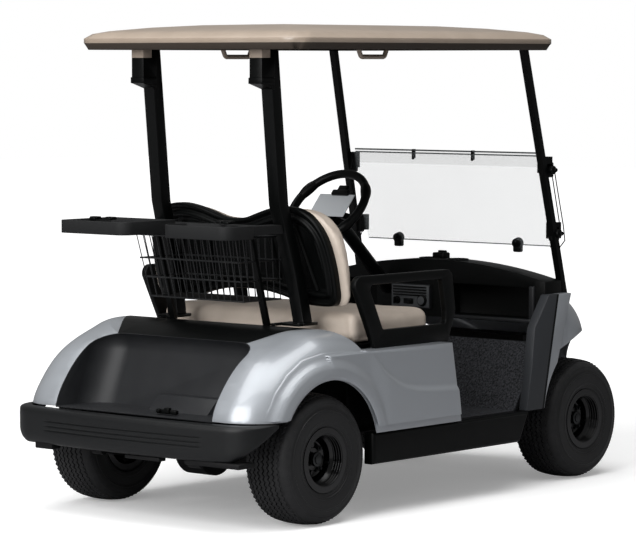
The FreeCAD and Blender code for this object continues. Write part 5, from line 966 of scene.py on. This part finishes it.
def back_pad():
    """The back cushion: a block on the shell's outline, standing past its sides."""
    edge = [Vector((point.x * 1.02, point.y - 0.003)) for point in back_loop(240)]

    def ring_between(ring, share):
        points = []
        for p in ring:
            rear = shell_x(p.y) + 0.031
            points.append(Vector((rear + (-0.468 - rear) * share, p.x, p.y)))
        return points

    rows = [ring_between(narrowed(edge, share), 0.0) for share in (0.0, 0.35, 0.7, 0.94)]
    for share, inset in ((0.0, 0.010), (0.14, 0.002), (0.35, 0.0), (0.62, 0.0), (0.80, 0.004), (0.93, 0.014),
                         (1.0, 0.032)):
        rows.append(ring_between(inset_loop(edge, inset), share))
    for share, depth in ((0.86, 1.02), (0.6, 1.04), (0.3, 1.04), (0.0, 1.04)):
        rows.append(ring_between(narrowed(edge, share), depth))
    pad = banded(rows, "back_pad_start")
    outward(pad)

    def against_shell(co):
        return co.x < shell_x(co.z) + 0.040

    pad = inflated(pad, 7.5, 8.0, against_shell)
    finish_piece(pad, "back_cushion", vinyl, "seat_back_cushion", True)


def rib(y_low, y_high, z_low, z_high, width):
    """A raised upright rib on the shell's panel."""
    length = math.hypot(z_high - z_low, y_high - y_low)
    bar = box((-0.009, 0.009), (-width / 2, width / 2), (-length / 2, length / 2), 0.006, 3)
    low = Vector((shell_x(z_low), y_low, z_low))
    high = Vector((shell_x(z_high), y_high, z_high))
    bar.rotation_euler = (high - low).to_track_quat("Z", "X").to_euler()
    bar.location = (low + high) / 2 + Vector((0.021, 0, 0))
    apply_place(bar)
    return bar


def shell_ribs():
    """The ribs that stiffen the shell, leaning with its sides."""
    ribs = []
    for side in (-1, 1):
        for foot, head, low, high, width in ((0.348, 0.280, 0.815, 1.062, 0.016), (0.405, 0.372, 0.835, 1.020, 0.014),
                                             (0.170, 0.150, 0.848, 1.045, 0.014)):
            ribs.append(rib(side * foot, side * head, low, high, width))
    finish_piece(join(ribs), "seat_back_ribs", black, "seat_back_shell")


back_shell()
shell_ribs()
back_pad()


# Wire basket between the bag loops and the seat back

WIRE_TOP = 1.022
WIRE_FOOT = 0.790
WIRE_PITCH = 0.031
RING_WIRE = 0.0030
THIN_WIRE = 0.0019


def basket_corner(side, front, z):
    """A corner of the basket at a height: it widens and leans back towards its mouth."""
    share = (z - WIRE_FOOT) / (WIRE_TOP - WIRE_FOOT)
    x = (-0.585 - 0.025 * share) if front else (-0.786 - 0.062 * share)
    return Vector((x, side * (0.232 + 0.014 * share), z))


def wire_basket():
    """Rings of thicker wire with close upright wires between them, and a wire floor."""
    bpy.ops.mesh.primitive_cylinder_add(vertices=8, radius=1, depth=1)
    pattern = bpy.context.object
    wires = []

    def wire(start, end, radius, past=0.0):
        run = end - start
        piece = copied(pattern, "wire")
        piece.data.transform(Matrix.LocRotScale((start + end) / 2, run.to_track_quat("Z", "Y"),
                                                (radius, radius, run.length + 2 * past)))
        wires.append(piece)

    corners = ((1, False), (-1, False), (-1, True), (1, True))
    for z in (WIRE_FOOT, 0.864, 0.935, WIRE_TOP):
        for index, corner in enumerate(corners):
            other = corners[(index + 1) % 4]
            past = 0.009 if WIRE_FOOT < z < WIRE_TOP else 0.003
            wire(basket_corner(*corner, z), basket_corner(*other, z), RING_WIRE, past)
    for index, corner in enumerate(corners):
        other = corners[(index + 1) % 4]
        foot, foot_end = basket_corner(*corner, WIRE_FOOT), basket_corner(*other, WIRE_FOOT)
        head, head_end = basket_corner(*corner, WIRE_TOP), basket_corner(*other, WIRE_TOP)
        count = round((foot_end - foot).length / WIRE_PITCH)
        for step in range(count):
            wire(foot.lerp(foot_end, step / count), head.lerp(head_end, step / count), THIN_WIRE)
    rear, front = (basket_corner(1, False, WIRE_FOOT), basket_corner(1, True, WIRE_FOOT))
    for step in range(1, 15):
        y = 0.232 - 0.464 * step / 15
        wire(Vector((rear.x, y, rear.z)), Vector((front.x, y, front.z)), THIN_WIRE)
    bpy.data.objects.remove(pattern)
    basket = join(wires)
    smooth(basket, 50)
    finish_piece(basket, "wire_basket", wire_coat_and_sheen, "basket", True)


wire_basket()


# Bag holder: buckles on the webbing

buckles = []
for x, y in ((-0.979, 0.330), (-0.968, 0.262), (-0.885, -0.215), (-0.905, -0.268)):
    buckles.append(box((x - 0.020, x + 0.020), (y - 0.014, y + 0.014), (1.079, 1.088), 0.003, 3))
    buckles.append(box((x - 0.013, x + 0.013), (y - 0.018, y + 0.018), (1.083, 1.091), 0.003, 3))
finish_piece(join(buckles), "strap_buckles", black, "bag_holder")

# Latch on the port's cover, tucked above the bumper

latch = [box((-1.092, -1.074), (-0.178, -0.082), (0.400, 0.416), 0.004, 3),
         box((-1.100, -1.082), (-0.150, -0.128), (0.402, 0.424), 0.003, 3),
         drum(0.008, 0.014, (-1.095, -0.098, 0.411), "X", 0.002, 24)]
finish_piece(join(latch), "port_latch", black, "bagwell")

# Hardware under the rear bumper

tabs = [box((-1.178, -1.130), (0.365, 0.452), (0.240, 0.266), 0.004, 3),
        box((-1.186, -1.150), (-0.185, -0.015), (0.242, 0.256), 0.003),
        box((-1.180, -1.090), (-0.560, -0.300), (0.243, 0.262), 0.005, 3),
        drum(0.016, 0.060, (-1.150, -0.330, 0.245), "Y", 0.004, 28)]
finish_piece(join(tabs), "bumper_tabs", dark_chassis, "rear_bumper")

# Rear deck: feet, bolts and the bar that joins basket upright to strut

deck_bits = []
for side in (-1, 1):
    deck_bits.append(box((-0.665, -0.545), (side * 0.262 - 0.010, side * 0.262 + 0.010), (0.697, 0.707), 0.003))
    deck_bits.append(drum(0.017, 0.012, (-0.590, side * 0.330, 0.703), "Z", 0.004, 32))
    deck_bits.append(box((-0.622, -0.530), (side * 0.312 - 0.042, side * 0.312 + 0.042), (0.696, 0.706), 0.004, 3))
finish_piece(join(deck_bits), "deck_feet", coated, "rear_deck")


# Finishes and painted shade that change across one piece

def two_tone(piece, material, chosen):
    """Give a second finish, or painted shade, to the faces that a test chooses."""
    piece.data.materials.append(material)
    slot = len(piece.data.materials) - 1
    for face in piece.data.polygons:
        if chosen(face):
            face.material_index = slot


def sliced(piece, place, normal):
    """Cut every face of a piece along a plane, leaving both sides."""
    edit_all(piece)
    bpy.ops.mesh.bisect(plane_co=place, plane_no=normal)
    done()


# Heights in the roof's rim: foot of its skirt, top of the dark edge, and the lighter line under the lip; the edge and
# the line are painted shade, the line lighter than the edge
SKIRT_FOOT = 1.7035
EDGE_TOP = 1.729
LINE_FOOT = 1.7425
LINE_TOP = 1.7465
EDGE_DRAW = 0.022


def beyond(value, low, high):
    """-1 or 1 beyond a low or high limit, 0 between them."""
    return -1.0 if value < low else 1.0 if value > high else 0.0


def roof_bands():
    """A thin lip over a dark edge that draws in below it, a dark underside and a lighter lip line; the edge, the
    underside and the line are painted shade.
    """
    roof = bpy.data.objects["roof_shown"]
    for height in (EDGE_TOP, LINE_TOP):
        sliced(roof, (0, 0, height), (0, 0, 1))
    # Painted shade: the edge and the underside darkest, the lip line and the faces below the skirt's foot a little
    # darker than the top
    two_tone(roof, shaded_roof_edge, lambda face: SKIRT_FOOT < face.center.z < EDGE_TOP or face.normal.z < -0.5)
    two_tone(roof, shaded_roof_skirt, lambda face: LINE_FOOT < face.center.z < LINE_TOP or face.center.z < SKIRT_FOOT)
    top = EDGE_TOP - 0.0005
    for vertex in roof.data.vertices:
        if 1.702 < vertex.co.z < top:
            drop = (top - vertex.co.z) / 0.0265
            vertex.co.x -= EDGE_DRAW * drop * beyond(vertex.co.x, -0.82, 0.66)
            vertex.co.y -= EDGE_DRAW * drop * beyond(vertex.co.y, -0.52, 0.52)


def cowl_facets():
    """The cowl's side: a grained door post, a dark joint and a silver facet in front."""
    cowl = bpy.data.objects["cowl_sides_shown"]
    corners = (((0.576, 0.600), (-0.072, 0.030)), ((0.617, 0.792), (-0.024, -0.038)), ((0.743, 0.792), (0.0, -0.038)))
    for vertex in cowl.data.vertices:
        for spot, move in corners:
            if math.hypot(vertex.co.x - spot[0], vertex.co.z - spot[1]) < 0.015:
                vertex.co += Vector((move[0], 0, move[1]))
                break
    way = Vector((1, 0, -0.214)).normalized()
    joint = Vector((0.655, 0, 0.731))
    joint_width = 0.012
    sliced(cowl, joint, way)
    sliced(cowl, joint - way * joint_width, way)
    two_tone(cowl, silver, lambda face: (face.center - joint).dot(way) > 0)
    two_tone(cowl, black, lambda face: -joint_width < (face.center - joint).dot(way) < 0)


SIDEWALL_RADIUS = 0.196
RIM_REACH = 0.092


def tyre_sides():
    """Smoother rubber on the sidewalls, darkened with painted shade."""
    for wheel, x, y in WHEELS:
        tyre = bpy.data.objects["tyre_%s_treaded" % wheel]
        # Painted shade on the sidewalls, which face away from the main lights
        two_tone(tyre, sidewall,
                 lambda face: math.hypot(face.center.x - x, face.center.z - AXLE_Z) < SIDEWALL_RADIUS)


def rim_rings():
    """Rolled steps down the well of each rim."""
    for wheel, x, y in WHEELS:
        way = -1 if y > 0 else 1
        rings = []
        for step, radius in enumerate((0.0945, 0.0935, 0.0925, 0.0905)):
            place = (x, y - way * (RIM_REACH - 0.0105 * step), AXLE_Z)
            bpy.ops.mesh.primitive_torus_add(major_segments=96, minor_segments=12, major_radius=radius,
                                             minor_radius=0.0032, location=place, rotation=(math.pi / 2, 0, 0))
            ring = bpy.context.object
            apply_place(ring)
            smooth(ring, 60)
            rings.append(ring)
        finish_piece(join(rings), "rim_steps_" + wheel, rim_gloss, "rim_" + wheel)


def thick_wheel():
    """The steering wheel with its soft cover on."""
    wheel = merged_copy("steering_wheel", "wheel_cover")
    smooth(wheel, 50)
    modify(wheel, "DISPLACE", strength=0.0028, mid_level=0.0)
    finish_piece(wheel, "steering_wheel_shown", black, "steering_wheel", True)


roof_bands()
cowl_facets()
tyre_sides()
rim_rings()
thick_wheel()


# Studio: pale floor, white backdrop, soft lights

FLOOR_LIFT = 0.25
WORLD_LIGHT = 0.20


def area_light(name, place, aim, width, height, power):
    data = bpy.data.lights.new(name, "AREA")
    data.shape = "RECTANGLE"
    data.size = width
    data.size_y = height
    data.energy = power
    light = bpy.data.objects.new(name, data)
    bpy.context.scene.collection.objects.link(light)
    light.location = place
    light.rotation_euler = (Vector(aim) - Vector(place)).to_track_quat("-Z", "Y").to_euler()


bpy.ops.mesh.primitive_plane_add(size=60, location=(0, 0, 0))
floor = bpy.context.object
floor.name = "studio_floor"
floor_paint = new_material("studio_floor_paint", "#fbfbfb", 0.95, specular=0.0)
tree, shader = tree_and_shader(floor_paint)
# The camera sees the paint a little brighter than the lamps make it, so the floor meets a white
# backdrop; the shadow stays, and other rays see a grey floor, as in a studio with little fill from below
place = add(tree, "ShaderNodeTexCoord")
away = add(tree, "ShaderNodeVectorMath", {0: place.outputs["Object"]}, operation="LENGTH")
fade = add(tree, "ShaderNodeMapRange", {"Value": away.outputs["Value"], "From Min": 2.2, "From Max": 6.0,
                                        "To Min": FLOOR_LIFT, "To Max": 1.0})
lift = add(tree, "ShaderNodeEmission", {"Color": (1, 1, 1, 1), "Strength": fade.outputs["Result"]})
brighter = add(tree, "ShaderNodeAddShader", {0: shader.outputs[0], 1: lift.outputs[0]})
ray = add(tree, "ShaderNodeLightPath")
grey_floor = add(tree, "ShaderNodeBsdfDiffuse", {"Color": (0.40, 0.40, 0.41, 1)})
floor_mix = add(tree, "ShaderNodeMixShader", {0: ray.outputs["Is Camera Ray"], 1: grey_floor.outputs[0],
                                              2: brighter.outputs[0]})
tree.links.new(floor_mix.outputs[0], tree.nodes["Material Output"].inputs["Surface"])
floor.data.materials.append(floor_paint)

world = bpy.data.worlds.new("studio")
bpy.context.scene.world = world
world.use_nodes = True
tree = world.node_tree
tree.nodes.clear()
ray = add(tree, "ShaderNodeLightPath")
seen = add(tree, "ShaderNodeMath", {0: ray.outputs["Is Camera Ray"], 1: ray.outputs["Is Transmission Ray"]},
           operation="MAXIMUM")
soft = add(tree, "ShaderNodeBackground", {"Color": (1, 1, 1, 1), "Strength": WORLD_LIGHT})
white = add(tree, "ShaderNodeBackground", {"Color": (1, 1, 1, 1), "Strength": 1.0})
both = add(tree, "ShaderNodeMixShader", {0: seen.outputs[0], 1: soft.outputs[0], 2: white.outputs[0]})
add(tree, "ShaderNodeOutputWorld", {0: both.outputs[0]})

area_light("top_softbox", (-1.0, -0.5, 5.0), (0, 0, 0.5), 6, 5, 290)
area_light("rear_softbox", (-5.5, -0.6, 3.0), (0, 0, 0.8), 5, 3.6, 300)
area_light("side_softbox", (0.5, -6.0, 2.4), (0, 0, 0.8), 4, 2.5, 6)

# Camera at the photograph's angle

camera_data = bpy.data.cameras.new("camera")
camera = bpy.data.objects.new("camera", camera_data)
bpy.context.scene.collection.objects.link(camera)
camera.location = (-9.1284, -7.7235, 1.6639)
camera.rotation_euler = (math.radians(90 - 3.92), 0, math.radians(40.55 - 90))
camera_data.sensor_width = 36
camera_data.lens = 175.46
camera_data.clip_end = 200
bpy.context.scene.camera = camera
bpy.context.scene.view_settings.view_transform = "Standard"
